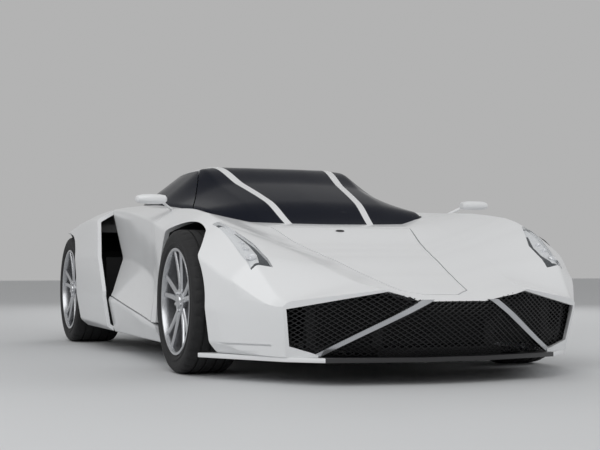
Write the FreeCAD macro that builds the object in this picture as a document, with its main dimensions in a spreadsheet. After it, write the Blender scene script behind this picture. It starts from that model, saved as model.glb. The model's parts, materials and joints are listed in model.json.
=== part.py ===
"""A low mid-engined supercar, built in millimetres: +X forward, +Y to the car's left, +Z up.

The skin is made of three lofts: the front and door zone, the rear wings and the cabin. A plan outline that
leans with height trims them at nose and tail. Panels are cut from the resulting shell with gaps between them.
"""
import FreeCAD
import Part
import Sketcher
import math
import os

V = FreeCAD.Vector
doc = FreeCAD.newDocument("supercar")

SIZES = [
    ("wheelbase", 2680.0),
    ("front_axle", 1220.0),
    ("axle_height_front", 337.0),
    ("axle_height_rear", 350.0),
    ("tyre_inside_front", 730.0),
    ("tyre_inside_rear", 670.0),
    ("wheel_face", 975.0),
    ("rim_radius_front", 254.0),
    ("rim_radius_rear", 267.0),
    ("wall", 22.0),
    ("glass_wall", 6.0),
    ("door_depth", 70.0),
    ("shut_gap", 7.0),
    ("arch_radius_front", 376.0),
    ("kingpin_offset", 800.0),
    ("belly", 118.0),
    ("spokes", 5.0),
    ("stub_radius", 30.0),
    ("disc_radius", 190.0),
    ("hub_radius", 62.0),
    ("exhaust_radius", 40.0),
    ("exhaust_spread", 70.0),
    ("engine_half", 290.0),
    ("engine_bottom", 165.0),
    ("gearbox_half", 150.0),
    ("gearbox_bottom", 200.0),
    ("wheel_ring", 165.0),
    ("wheel_grip", 15.0),
    ("seat_inside", 150.0),
    ("seat_outside", 640.0),
    ("splitter_top", 117.9),
    ("splitter_depth", 20.0),
]

sheet = doc.addObject("Spreadsheet::Sheet", "Sizes")
for row, (word, number) in enumerate(SIZES, 1):
    sheet.set("A%d" % row, word)
    sheet.set("B%d" % row, str(number))
    sheet.setAlias("B%d" % row, word)
doc.recompute()
S = {}
for word, number in SIZES:
    S[word] = float(sheet.get(word))

FRONT_X = S["front_axle"]
REAR_X = S["front_axle"] - S["wheelbase"]
FRONT_Z = S["axle_height_front"]
REAR_Z = S["axle_height_rear"]
WALL = S["wall"]
GAP = S["shut_gap"]

# Front and door zone: half sections from the belly to the middle, as (y, z) per named line.
FRONT_LINES = ("x", "belly", "sill", "flank", "side", "crest", "valley", "crease", "centre")
FRONT_TABLE = [
    (2300, (560, 118), (600, 150), (640, 255), (645, 318), (600, 338), (330, 398), (105, 322), (0, 320)),
    (2000, (680, 118), (705, 155), (722, 260), (724, 318), (698, 354), (372, 432), (167, 388), (0, 390)),
    (1750, (810, 118), (850, 160), (872, 300), (868, 440), (770, 545), (440, 508), (222, 457), (0, 460)),
    (1400, (930, 118), (968, 175), (985, 350), (975, 600), (810, 708), (500, 605), (298, 555), (0, 556)),
    (1220, (935, 118), (975, 180), (992, 400), (982, 660), (812, 757), (520, 655), (338, 604), (0, 604)),
    (900, (925, 118), (968, 190), (958, 400), (950, 692), (802, 792), (560, 735), (405, 712), (0, 712)),
    (560, (920, 118), (962, 215), (905, 450), (925, 745), (800, 808), (640, 792), (480, 752), (0, 745)),
    (200, (915, 118), (955, 265), (868, 500), (900, 785), (790, 826), (690, 832), (480, 790), (0, 780)),
    (-200, (910, 118), (950, 300), (845, 540), (880, 825), (785, 848), (700, 862), (480, 810), (0, 800)),
    (-700, (905, 118), (948, 330), (835, 560), (865, 850), (780, 866), (700, 876), (480, 820), (0, 810)),
]

# Rear wings, from the intake's lip to the tail.
REAR_LINES = ("x", "belly", "sill", "flank", "mid", "side", "crest", "valley", "deck", "centre")
REAR_TABLE = [
    (-250, (905, 118), (955, 150), (985, 325), (985, 560), (955, 770), (850, 848), (620, 866), (480, 840), (0, 820)),
    (-700, (905, 118), (960, 160), (990, 330), (995, 560), (966, 790), (850, 850), (560, 860), (450, 840), (0, 820)),
    (-1100, (905, 118), (962, 165), (992, 330), (998, 560), (962, 778), (850, 838), (515, 842), (440, 825), (0, 810)),
    (-1460, (900, 118), (962, 165), (992, 330), (998, 540), (980, 728), (850, 792), (500, 818), (430, 806), (0, 800)),
    (-1800, (890, 118), (955, 165), (985, 320), (988, 500), (966, 700), (850, 755), (485, 796), (400, 796), (0, 797)),
    (-2260, (860, 130), (930, 180), (960, 300), (962, 450), (930, 690), (850, 716), (460, 763), (300, 765), (0, 763)),
]

# Cabin: base, belt line, roof rail, twin ridge (outer and inner) and the channel between them.
CABIN_LINES = ("x", "base", "belt", "rail", "ridge", "brow", "centre")
CABIN_TABLE = [
    (900, (640, 560), (590, 650), (330, 690), (226, 697), (140, 699), (0, 700)),
    (560, (690, 600), (628, 808), (400, 842), (262, 852), (150, 854), (0, 856)),
    (190, (730, 600), (668, 846), (425, 960), (302, 976), (170, 979), (0, 981)),
    (-130, (760, 600), (695, 870), (445, 1076), (338, 1090), (170, 1090), (0, 1090)),
    (-420, (760, 600), (690, 890), (462, 1070), (310, 1112), (150, 1078), (0, 1010)),
    (-840, (700, 600), (620, 885), (452, 1004), (280, 1044), (130, 985), (0, 915)),
    (-1340, (640, 600), (510, 826), (398, 918), (252, 958), (112, 890), (0, 838)),
    (-1900, (600, 600), (470, 782), (335, 815), (216, 853), (95, 815), (0, 790)),
    (-2260, (560, 600), (430, 735), (300, 745), (190, 752), (80, 745), (0, 740)),
]

# Plan outline at five heights; the nose and the tail lean with height.
PLAN_LINES = ("z", "nose", "nose_in", "nose_mid", "nose_out", "flank", "waist_front", "waist_rear", "corner",
              "tail_out", "tail_in", "tail")
PLAN_TABLE = [
    (60, (2120, 0), (2120, 150), (2060, 340), (1945, 680), (1530, 975), (1250, 1010), (-1250, 1010),
     (-1990, 1010), (-1990, 850), (-1800, 560), (-1800, 0)),
    (300, (2232, 0), (2236, 150), (2165, 335), (1992, 712), (1540, 980), (1250, 1010), (-1250, 1010),
     (-2040, 1010), (-2040, 850), (-1915, 560), (-1915, 0)),
    (405, (2238, 0), (2240, 150), (2202, 330), (2004, 722), (1545, 982), (1250, 1010), (-1250, 1010),
     (-2008, 1010), (-2008, 835), (-2016, 580), (-2016, 0)),
    (760, (2238, 0), (2240, 150), (2202, 330), (2004, 722), (1545, 982), (1250, 1010), (-1250, 1010),
     (-2200, 1010), (-2200, 835), (-2222, 565), (-2240, 0)),
    (1300, (2238, 0), (2240, 150), (2202, 330), (2004, 722), (1545, 982), (1250, 1010), (-1250, 1010),
     (-2200, 1010), (-2200, 835), (-2222, 565), (-2240, 0)),
]


def grow(points, d):
    """Offset a closed polygon by d: outwards when positive, inwards when negative."""
    n = len(points)
    area = 0.0
    for i in range(n):
        x0, y0 = points[i]
        x1, y1 = points[(i + 1) % n]
        area += x0 * y1 - x1 * y0
    turn = 1.0 if area > 0 else -1.0
    out = []
    for i in range(n):
        ax, ay = points[i - 1]
        bx, by = points[i]
        cx, cy = points[(i + 1) % n]
        ux, uy = bx - ax, by - ay
        vx, vy = cx - bx, cy - by
        lu = math.hypot(ux, uy)
        lv = math.hypot(vx, vy)
        ux, uy, vx, vy = ux / lu, uy / lu, vx / lv, vy / lv
        nx = turn * (uy + vy)
        ny = -turn * (ux + vx)
        k = 2.0 * d / (nx * nx + ny * ny)
        out.append((bx + nx * k, by + ny * k))
    return out


def mirrored(half):
    """A closed outline from a half one that ends, or both starts and ends, on the middle line."""
    other = [(-y, z) for y, z in half if abs(y) > 1e-6]
    return list(half) + other[::-1]


def blend(a, b, c, d, t):
    """A curve through b and c that never swings past them."""
    if (c - b) == 0:
        return b
    m0 = 0.0 if (b - a) * (c - b) <= 0 else 2.0 * (b - a) * (c - b) / (c - a)
    m1 = 0.0 if (c - b) * (d - c) <= 0 else 2.0 * (c - b) * (d - c) / (d - b)
    t2 = t * t
    t3 = t2 * t
    return b * (2 * t3 - 3 * t2 + 1) + m0 * (t3 - 2 * t2 + t) + c * (3 * t2 - 2 * t3) + m1 * (t3 - t2)


def fair(table, steps):
    """Extra stations between those of a table, along smooth lines."""
    rows = []
    last = len(table) - 1
    for i in range(last):
        a = table[max(i - 1, 0)]
        b = table[i]
        c = table[i + 1]
        d = table[min(i + 2, last)]
        for k in range(steps):
            t = k / steps
            row = [b[0] + (c[0] - b[0]) * t]
            for column in range(1, len(b)):
                y = blend(a[column][0], b[column][0], c[column][0], d[column][0], t)
                z = blend(a[column][1], b[column][1], c[column][1], d[column][1], t)
                row.append((y, z))
            rows.append(row)
    rows.append(list(table[last]))
    return rows


def section(row, inset):
    """One closed loft section of a table row, inset by a wall."""
    outline = mirrored(row[1:])
    if inset:
        outline = grow(outline, -inset)
    points = [V(row[0], y, z) for y, z in outline]
    points.append(points[0])
    return Part.makePolygon(points)


def skin(table, inset=0.0, steps=3):
    return Part.makeLoft([section(row, inset) for row in fair(table, steps)], True, True)


def plan(inset=0.0):
    """The trim body: nose and tail outline, leaning with height."""
    wires = []
    for row in PLAN_TABLE:
        right = [(x, -y) for x, y in row[1:]]
        left = [(x, y) for x, y in row[2:-1]]
        outline = right + left[::-1]
        if inset:
            outline = grow(outline, -inset)
        points = [V(x, y, row[0]) for x, y in outline]
        points.append(points[0])
        wires.append(Part.makePolygon(points))
    return Part.makeLoft(wires, True, True)


def prism(points, along, low, high):
    """Extrude an outline: points are (x, y) along z, (x, z) along y or (y, z) along x."""
    if along == "z":
        corners = [V(a, b, low) for a, b in points]
        step = V(0, 0, high - low)
    elif along == "y":
        corners = [V(a, low, b) for a, b in points]
        step = V(0, high - low, 0)
    else:
        corners = [V(low, a, b) for a, b in points]
        step = V(high - low, 0, 0)
    corners.append(corners[0])
    return Part.Face(Part.makePolygon(corners)).extrude(step)


def box(x0, x1, y0, y1, z0, z1):
    return Part.makeBox(x1 - x0, y1 - y0, z1 - z0, V(x0, y0, z0))


def rod(p, q, r):
    p = V(*p)
    q = V(*q)
    return Part.makeCylinder(r, (q - p).Length, p, q - p)


def flip(shape):
    """The same shape on the car's other side."""
    return shape.mirror(V(0, 0, 0), V(0, 1, 0))


def both(shape):
    return [shape, flip(shape)]


def fuse(shapes):
    out = shapes[0].multiFuse(shapes[1:]) if len(shapes) > 1 else shapes[0]
    return out.removeSplitter()


def largest(shape):
    """The main solid of a cut that also leaves small ones."""
    return max(shape.Solids, key=lambda solid: solid.Volume)


def gather(shapes):
    """One node of one or more separate solids."""
    solids = []
    for shape in shapes:
        for solid in shape.Solids:
            if solid.Volume > 9000.0:
                solids.append(solid)
    return solids[0] if len(solids) == 1 else Part.makeCompound(solids)


NODES = []


def node(name, shape, place=V(0, 0, 0)):
    feature = doc.addObject("Part::Feature", name)
    feature.Label = name
    feature.Shape = shape
    feature.Placement = FreeCAD.Placement(place, FreeCAD.Rotation())
    NODES.append(feature)
    return feature


def mirror_node(name, source):
    """The other side's twin of a node."""
    twin = doc.addObject("Part::Mirroring", name)
    twin.Label = name
    twin.Source = source
    twin.Normal = V(0, 1, 0)
    NODES.append(twin)
    return twin


def body_node(name, side=1, x="0", z="0"):
    """A body with a frame of its own; on the right side it is turned half round the upright."""
    body = doc.addObject("PartDesign::Body", name)
    body.Label = name
    turn = 0.0 if side > 0 else 180.0
    body.Placement = FreeCAD.Placement(V(0, 0, 0), FreeCAD.Rotation(V(0, 0, 1), turn))
    body.setExpression("Placement.Base.x", x)
    body.setExpression("Placement.Base.z", z)
    NODES.append(body)
    return body


def origin_part(body, role):
    """One of a body's own origin planes or axes."""
    for feature in body.Origin.OriginFeatures:
        if feature.Role == role:
            return feature
    raise RuntimeError(role)


def sized(value):
    """A coordinate as number and expression: a plain number, or a pair of a sheet's word and what is added."""
    if isinstance(value, tuple):
        return S[value[0]] + value[1], "Sizes.%s + %g" % value
    return float(value), "%g" % value


def draw(body, name, role, loops, offset=(0, "0")):
    """A sketch of closed loops on an origin plane of the body; every corner is held by two dimensions."""
    sketch = body.newObject("Sketcher::SketchObject", name)
    sketch.AttachmentSupport = [(origin_part(body, role), "")]
    sketch.MapMode = "FlatFace"
    sketch.AttachmentOffset = FreeCAD.Placement(V(0, 0, offset[0]), FreeCAD.Rotation())
    sketch.setExpression("AttachmentOffset.Base.z", offset[1])
    for loop in loops:
        first = sketch.GeometryCount
        corners = [V(sized(a)[0], sized(b)[0], 0) for a, b in loop]
        count = len(corners)
        for i in range(count):
            sketch.addGeometry(Part.LineSegment(corners[i], corners[(i + 1) % count]), False)
        for i in range(count):
            sketch.addConstraint(Sketcher.Constraint("Coincident", first + i, 2, first + (i + 1) % count, 1))
        for i in range(count):
            for kind, value in (("DistanceX", loop[i][0]), ("DistanceY", loop[i][1])):
                number, words = sized(value)
                index = sketch.addConstraint(Sketcher.Constraint(kind, -1, 1, first + i, 1, number))
                if isinstance(value, tuple):
                    sketch.setExpression("Constraints[%d]" % index, words)
    return sketch


def turned(body, name, loops):
    """A revolution about the body's cross axis of a profile given as (y, radius)."""
    sketch = draw(body, name + "_profile", "YZ_Plane", loops)
    feature = body.newObject("PartDesign::Revolution", name)
    feature.Profile = sketch
    feature.ReferenceAxis = (origin_part(body, "Y_Axis"), [""])
    feature.Angle = 360.0
    return feature


def padded(body, name, role, loops, depth, offset=(0, "0")):
    """A pad of an outline; depth is an expression."""
    sketch = draw(body, name + "_outline", role, loops, offset)
    feature = body.newObject("PartDesign::Pad", name)
    feature.Profile = sketch
    feature.setExpression("Length", depth)
    return feature


def primitive(kind, name, sizes, place):
    """A Part primitive whose sizes are expressions."""
    feature = doc.addObject(kind, name)
    feature.Placement = place
    for word, expression in sizes:
        feature.setExpression(word, expression)
    return feature


def joined(name, pieces):
    feature = doc.addObject("Part::MultiFuse", name)
    feature.Shapes = pieces
    return feature


# The leading edge of the rear wing leans back as it rises: the side intake's lip. The door ends ahead of it.
LIP = [(-330, 60), (-318, 360), (-585, 800), (-700, 1300), (-2400, 1300), (-2400, 60)]
DOOR = [(738, 222), (690, 640), (640, 1000), (-640, 1000), (-570, 795), (-304, 360), (-303, 330)]
BONNET = [(940, 395), (1400, 290), (1980, 162), (2050, 80)]
COVER = [(-740, 436), (-1340, 385), (-1950, 318)]
DOOR_GLASS = [(470, 760), (470, 668), (-122, 455), (-430, 472), (-850, 462), (-590, 700), (-590, 760)]
ROOF = [(-128, 448), (-430, 464), (-736, 455), (-737, 430), (-765, 430)]
MOUTH = [(151, 352), (326, 396), (702, 322), (678, 165), (560, 128)]
LAMP = [(1385, 836), (1398, 802), (1610, 712), (1805, 690), (1790, 785), (1700, 800)]
STRIP = [(900, 202), (900, 240), (-140, 376), (-140, 326)]
TAIL_SIDE = [(575, 742), (160, 674), (588, 417), (800, 421)]
TAIL_MIDDLE = [(120, 660), (555, 395), (540, 262), (548, 60)]
REAR_ARCH = [(-1085, 60), (-1080, 450), (-1125, 600), (-1240, 698), (-1380, 728), (-1545, 722), (-1680, 643),
             (-1960, 431), (-1960, 60)]
RAMP = [(-1565, 130), (-1980, 396), (-1980, 408), (-1565, 142)]
UNDER_RAMP = [(-1565, 0), (-1565, 142), (-1980, 408), (-1980, 0)]
# The large flat facet at each rear corner: three points of its plane.
FACET = [(-2222, 565, 760), (-2006, 835, 405), (-1450, 985, 730)]


def paired(half):
    """A full outline from one side's points."""
    return list(half) + [(x, -y) for x, y in half[::-1]]


def paired_yz(half):
    return list(half) + [(-y, z) for y, z in half[::-1]]


def panel(points, along, low, high, margin):
    """A cutting prism grown (or, for the panel itself, shrunk) by half the shut gap."""
    return prism(grow(points, margin), along, low, high)


def band(points, width):
    """A bent bar's outline from its middle line."""
    left = []
    right = []
    for i, (x, y) in enumerate(points):
        ax, ay = points[max(i - 1, 0)]
        bx, by = points[min(i + 1, len(points) - 1)]
        length = math.hypot(bx - ax, by - ay)
        nx = -(by - ay) / length * width / 2.0
        ny = (bx - ax) / length * width / 2.0
        left.append((x + nx, y + ny))
        right.append((x - nx, y - ny))
    return left + right[::-1]


def facet(inset):
    """The solid beyond a rear corner's facet plane, moved in by a wall."""
    a, b, c = [V(*p) for p in FACET]
    normal = (b - a).cross(c - a)
    normal.normalize()
    if normal.y < 0:
        normal = normal * -1.0
    block = Part.makeBox(2400, 2400, 900, V(-1200, -1200, 0))
    place = FreeCAD.Placement(a - normal * inset, FreeCAD.Rotation(V(0, 0, 1), normal))
    block.Placement = place
    return block


trim = plan().cut(facet(0)).cut(flip(facet(0)))
trim_inner = plan(WALL).cut(facet(WALL)).cut(flip(facet(WALL)))
behind_lip = prism(LIP, "y", -1100, 1100)
ahead = prism([(-344, 60), (-332, 360), (-599, 800), (-650, 1300), (2400, 1300), (2400, 60)], "y", -1100, 1100)

front_solid = skin(FRONT_TABLE).common(trim).common(ahead)
front_space = skin(FRONT_TABLE, WALL, 1).common(trim_inner)
door_space = skin(FRONT_TABLE, S["door_depth"], 1)
rear_solid = skin(REAR_TABLE).common(trim).common(behind_lip)
rear_space = skin(REAR_TABLE, WALL, 1).common(trim_inner)
cabin_solid = skin(CABIN_TABLE).common(trim)
cabin_space = skin(CABIN_TABLE, WALL, 2).common(trim_inner)
glass_space = skin(CABIN_TABLE, S["glass_wall"]).common(trim)

half_gap = GAP / 2.0
front_shell = front_solid.cut(front_space)

# A door turns on an upright axis just ahead of its leading edge, the engine cover on a cross axis under the roof.
# Their shut faces are parts of a cone and a cylinder about these axes, so the gap stays even while they turn.
DOOR_AXIS = (832, 905)
BONNET_AXIS = (860, 675)
COVER_AXIS = (-660, 1015)
COVER_RADIUS = 91


def shut_cone(axis, margin):
    return Part.makeCone(111 + margin, 173 + margin, 780, V(axis[0], axis[1], 222))


def shut_drum(margin):
    points = [COVER_AXIS]
    for angle in range(100, 261, 8):
        turn = math.radians(angle)
        reach = COVER_RADIUS + margin
        points.append((COVER_AXIS[0] + reach * math.cos(turn), COVER_AXIS[1] + reach * math.sin(turn)))
    return prism(points, "y", -600, 600)


# Front wings, bumper and cowl.
arch_front = Part.makeCylinder(S["arch_radius_front"], 420, V(FRONT_X, 745, FRONT_Z), V(0, 1, 0))
arch = S["arch_radius_front"]
under_arch = box(FRONT_X - arch, FRONT_X + arch, 745, 1165, 0, FRONT_Z)
arch_front = arch_front.fuse(under_arch).fuse(box(FRONT_X - arch, FRONT_X + arch, 480, 1165, 0, 145))
door_zone = panel(DOOR, "y", 560, 1100, half_gap).cut(shut_cone(DOOR_AXIS, -half_gap))
sill_zone = prism([(848, 60), (848, 205), (738, 218), (-303, 326), (-345, 326), (-345, 60)], "y", -1100, 1100)
forward = box(655, 2400, -1100, 1100, 60, 1300)
body = front_shell.common(forward).cut(glass_space)
body = body.cut([panel(paired(BONNET), "z", 300, 900, half_gap), prism(paired_yz(MOUTH), "x", 1780, 2400),
                 door_zone, flip(door_zone), arch_front, flip(arch_front),
                 box(500, 848, -1100, 1100, 60, 222), box(500, 2060, -560, 560, 60, 150),
                 box(2000, 2400, -524, 524, 60, 128.5)])
slit = plan(-4).cut(plan(9)).common(box(1612, 1905, 600, 1100, 142, 150))
body = largest(body.cut([slit, flip(slit)]))
node("front_body", body)

bonnet = front_shell.common(panel(paired(BONNET), "z", 300, 900, -half_gap))


def lid_arm(axis, path, y):
    """A goose-neck hinge arm with an eye about a lid's axis."""
    arm = prism(band([axis] + path, 14), "y", y - 8, y + 8).fuse(rod((axis[0], y - 8, axis[1]), (axis[0], y + 8, axis[1]), 12))
    return arm.cut(rod((axis[0], y - 20, axis[1]), (axis[0], y + 20, axis[1]), 6.3))


for y in (-300, 300):
    arm = lid_arm(BONNET_AXIS, [(906, 606), (936, 598), (985, 700)], y)
    bonnet = bonnet.fuse(arm.cut(skin(FRONT_TABLE, WALL / 2.0, 1).cut(front_space)).common(front_space))
bonnet = bonnet.removeSplitter()
node("bonnet", gather([bonnet]))

sills = front_solid.common(sill_zone).common(box(-345, 848, 700, 1100, 60, 400)).cut(body).cut(rear_solid)
node("sills", gather(both(sills)))

# Doors, with the space under the belt hollowed by the door's depth.
screen_clear = skin(CABIN_TABLE, -GAP).common(box(470 - half_gap, 1000, 0, 1100, 400, 1300))
door = front_solid.common(panel(DOOR, "y", 560, 1100, -half_gap))
under_shoulder = box(-700, -562, 560, 765, 600, 861)
door = door.cut([door_space, glass_space, screen_clear, shut_cone(DOOR_AXIS, half_gap), under_shoulder])
arms = []
for z in (440, 600):
    path = [DOOR_AXIS, (773, 742), (640, 882)]
    arm = prism(band(path, 16), "z", z, z + 20).fuse(Part.makeCylinder(12, 20, V(DOOR_AXIS[0], DOOR_AXIS[1], z)))
    arms.append(arm.cut(Part.makeCylinder(6.3, 30, V(DOOR_AXIS[0], DOOR_AXIS[1], z - 5))))
door = door.fuse(arms[0]).fuse(arms[1])
mirror_node("door_right", node("door_left", gather([door])))

# Glass and roof.
glass_shell = cabin_solid.cut(glass_space)
cabin_shell = cabin_solid.cut(cabin_space)
door_glass = glass_shell.common(prism(grow(DOOR_GLASS, -half_gap), "z", 700, 1200))
door_glass = door_glass.cut([front_solid, box(-1000, -585, 600, 800, 600, 866)])
mirror_node("glass_right", node("glass_left", largest(door_glass)))

strip = prism(STRIP, "z", 600, 1200)
roof_zone = prism(paired(ROOF), "z", 800, 1200)
cover_zone = prism(grow(paired(COVER), half_gap), "z", 600, 1200).cut(shut_drum(-half_gap))
roof = cabin_shell.common(fuse([roof_zone, strip, flip(strip)])).cut(front_solid).cut(cover_zone)
node("roof", gather([roof]))

screen_zone = prism(paired([(900, 640), (470, 668 - half_gap), (-128, 455 - half_gap)]), "z", 600, 1200)
screen = glass_shell.common(screen_zone).cut(roof).cut(front_solid)
node("windscreen", gather([screen]))

# Rear wings, deck and tail.
rear_arch = prism(REAR_ARCH, "y", 640, 1100)
corner_arch = [(-1600, 300), (-1680, 643), (-2400, 103), (-2400, 60)]
rear_arch = rear_arch.fuse(prism(corner_arch, "y", 858, 1100))
wings = rear_solid.cut(rear_space).cut(cabin_space)
spine = cabin_shell.common(behind_lip).cut(rear_space)
tail = wings.fuse(spine)
glass_zone = prism(grow(DOOR_GLASS, half_gap), "z", 700, 1200)
side_hole = prism(TAIL_SIDE, "x", -2300, -1850)
tools = [cover_zone, roof_zone, prism(paired_yz(TAIL_MIDDLE), "x", -2300, -1830),
         box(-2400, -1780, -1100, 1100, 0, 270), box(-2400, -240, -915, 915, 0, 145)]
for tool in (glass_zone, door_zone, rear_arch, side_hole):
    tools += both(tool)
tools += both(box(-2300, -2190, 60, 270, 734, 748))
tail = tail.cut(tools)
node("rear_body", gather([tail]))

cover = cabin_shell.common(prism(grow(paired(COVER), -half_gap), "z", 600, 1200)).cut([rear_space, shut_drum(half_gap)])
for y in (-280, 280):
    arm = lid_arm(COVER_AXIS, [(-740, 947), (-792, 1042)], y)
    cover = cover.fuse(arm.common(cabin_space))
cover = cover.removeSplitter()
node("engine_cover", gather([cover]))

# The tail's open frames are filled by a mesh set back from the outline; lamps and a panel stand in front of it.
def layer(front_inset, back_inset, face, low, high):
    """A sheet that follows the leaning outline between two insets, inside a face outline."""
    return plan(front_inset).cut(plan(back_inset)).common(prism(face, "x", low, high))


side_face = grow(TAIL_SIDE, 8)
mesh = layer(WALL, WALL + 8, side_face, -2300, -1850)
middle_face = paired_yz([(126, 668), (566, 412)])
middle_mesh = layer(WALL, WALL + 8, middle_face, -2300, -1800)
node("tail_mesh", gather([m.cut(tail) for m in (mesh, flip(mesh), middle_mesh)]))
lamp = layer(6, WALL - 0.3, [(566, 736), (540, 715), (742, 425), (790, 425)], -2300, -1850).cut(tail)
node("tail_lamps", gather(both(lamp)))
copper = layer(6, WALL - 0.3, paired_yz([(150, 640), (330, 520)]), -2300, -1850).cut(tail)
node("tail_panel", gather([copper]))

# Front mesh, bars and splitter.
mouth_face = paired_yz(grow(MOUTH, 4))
front_mesh = layer(WALL, WALL + 8, paired_yz([(151, 356), (326, 400), (706, 326), (681, 160), (560, 118.2)]), 1780, 2400)
node("front_mesh", gather([front_mesh.cut(body)]))
bar = layer(2, WALL - 0.3, [(176, 362), (128, 362), (548, 122), (586, 122)], 1780, 2400).cut(body)
node("front_bars", gather(both(bar)))
LIP_EDGE = [(1540, 950), (1955, 684), (2070, 550), (2165, 150)]
splitter = body_node("splitter")
lip_loop = paired(LIP_EDGE) + [(1540, -700), (1760, -700), (1760, 700), (1540, 700)]
padded(splitter, "splitter_plate", "XY_Plane", [lip_loop], "Sizes.splitter_depth",
       (S["splitter_top"] - S["splitter_depth"], "Sizes.splitter_top - Sizes.splitter_depth"))

# Diffuser and exhausts.
diffuser = [prism(RAMP, "y", -536, 536)]
below = prism([(-1700, 165), (-1680, 206), (-1974, 393), (-1915, 205), (-1880, 170)], "y", -600, 600)
for top, bottom in ((110, 300), (390, 470)):
    for side in (1, -1):
        fin = prism([(side * (top - 4), 420), (side * (top + 4), 420), (side * (bottom + 4), 140), (side * (bottom - 4), 140)],
                    "x", -1985, -1600)
        diffuser.append(fin.common(below))
diffuser = fuse(diffuser)
spread = S["exhaust_spread"]
backward = FreeCAD.Rotation(V(0, 1, 0), -90)
pipes = []
for side, word in ((1, "left"), (-1, "right")):
    y = side * spread
    diffuser = diffuser.cut(rod((-1500, y, 235), (-2000, y, 235), S["exhaust_radius"] + 0.3))
    pipe = primitive("Part::Cylinder", "pipe_" + word, [("Radius", "Sizes.exhaust_radius"), ("Height", "290")],
                     FreeCAD.Placement(V(-1660, y, 235), backward))
    bore = primitive("Part::Cylinder", "pipe_bore_" + word, [("Radius", "Sizes.exhaust_radius - 4"), ("Height", "190")],
                     FreeCAD.Placement(V(-1800, y, 235), backward))
    for piece in (pipe, bore):
        piece.setExpression("Placement.Base.y", "%d * Sizes.exhaust_spread" % side)
    open_pipe = doc.addObject("Part::Cut", "open_pipe_" + word)
    open_pipe.Base = pipe
    open_pipe.Tool = bore
    pipes.append(open_pipe)
node("diffuser", gather([diffuser]))
exhausts = doc.addObject("Part::Compound", "exhausts")
exhausts.Label = "exhausts"
exhausts.Links = pipes
NODES.append(exhausts)

# Headlamps lie along the wing's crest.
lamp_zone = prism(LAMP, "z", 400, 900)
lens = front_solid.cut(skin(FRONT_TABLE, 5.0)).common(lamp_zone)
node("headlamp_lenses", gather(both(lens)))
insert = skin(FRONT_TABLE, 9.0).cut(skin(FRONT_TABLE, WALL, 1)).common(prism(grow(LAMP, -0.3), "z", 400, 900))
node("headlamp_inserts", gather(both(insert)))
for feature in NODES:
    if feature.Label == "front_body":
        feature.Shape = gather([feature.Shape.cut(lamp_zone).cut(flip(lamp_zone))])

# Floor, tunnel, bulkheads, rails and wheel-well liners.
space = front_space.common(box(300, 2400, -1100, 1100, 0, 1300))
seat_gap = 0.3
deck_z = 140 + seat_gap
floor = box(-700 + seat_gap, 846, -735, 735, 118, 140)
for side in (1, -1):
    y0, y1 = sorted((side * 690, side * 797))
    floor = floor.fuse(box(780, 842, y0, y1, 118, 140))
tunnel = box(-700 + seat_gap, 820, -110, 110, deck_z, 330)


def lugs(axis, y, x0, x1, low, high):
    """Two ears and the pin between them that a lid's arm turns on."""
    x, z = axis
    return [box(x0, x1, y - 14, y - 8.3, low, high), box(x0, x1, y + 8.3, y + 14, low, high),
            rod((x, y - 14, z), (x, y + 14, z), 6)]


firewall = [box(830, 846, -470, 470, deck_z, 600)]
for y in (300, -300):
    firewall += lugs(BONNET_AXIS, y, 831, 874, 590, 690)
bulkhead = [box(-716, -700, -880, 880, 118, 560), box(-716, -700, -600, 600, 559, 860)]
for y in (280, -280):
    bulkhead += lugs(COVER_AXIS, y, -716, -646, 850, COVER_AXIS[1] + 14)
side_wall = box(-700 + seat_gap, -320, 735 + seat_gap, 755, 118, 780)
front_frame = [box(846 + seat_gap, 2040, -300, 300, 118, 151), box(846 + seat_gap, 1980, -300, -250, 150, 260),
               box(846 + seat_gap, 1980, 250, 300, 150, 260), box(900, 1540, 296, 504, 151, 190),
               box(900, 1540, -504, -296, 151, 190)]
liner = Part.makeCylinder(381, 440, V(FRONT_X, 500, FRONT_Z), V(0, 1, 0))
liner = liner.cut(Part.makeCylinder(377, 440, V(FRONT_X, 504, FRONT_Z), V(0, 1, 0)))
liner = liner.cut(box(800, 1700, 400, 1000, -100, 190 + seat_gap)).common(front_space)
rear_frame = [box(-1780, -716 - seat_gap, 300, 360, 195, 275), box(-1780, -716 - seat_gap, -360, -300, 195, 275),
              box(-1565, -716 - seat_gap, -560 + seat_gap, 560 - seat_gap, 130, 196)]
gearbox_mount = box(-1780, -1560, -360, 360, 300, 315)
well = prism(grow(REAR_ARCH, 5), "y", 560, 940).cut(prism(REAR_ARCH, "y", 565, 1000))
well = well.cut(box(-2400, -1000, 500, 1000, 0, 160)).cut(box(-2400, -1900, 500, 1000, 0, 1000)).common(rear_space)
post = [box(814, 842, 765, 797, deck_z, 650)]
for z in (440, 600):
    post.append(box(812, 842, 780, 917, z - 14, z - 0.3))
    post.append(box(812, 842, 780, 917, z + 20.3, z + 34))
    post.append(Part.makeCylinder(6, 48, V(DOOR_AXIS[0], DOOR_AXIS[1], z - 14)))
panels = [floor, tunnel, fuse(firewall), fuse(bulkhead), fuse(front_frame), fuse(rear_frame), gearbox_mount]
for piece in (side_wall, liner, well, fuse(post)):
    panels += both(piece)
tub = Part.makeCompound(panels)
tub = tub.cut([body, tail, sills, flip(sills), insert, flip(insert), prism(UNDER_RAMP, "y", -600, 600)])
tub_node = node("tub", gather([tub]))

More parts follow.
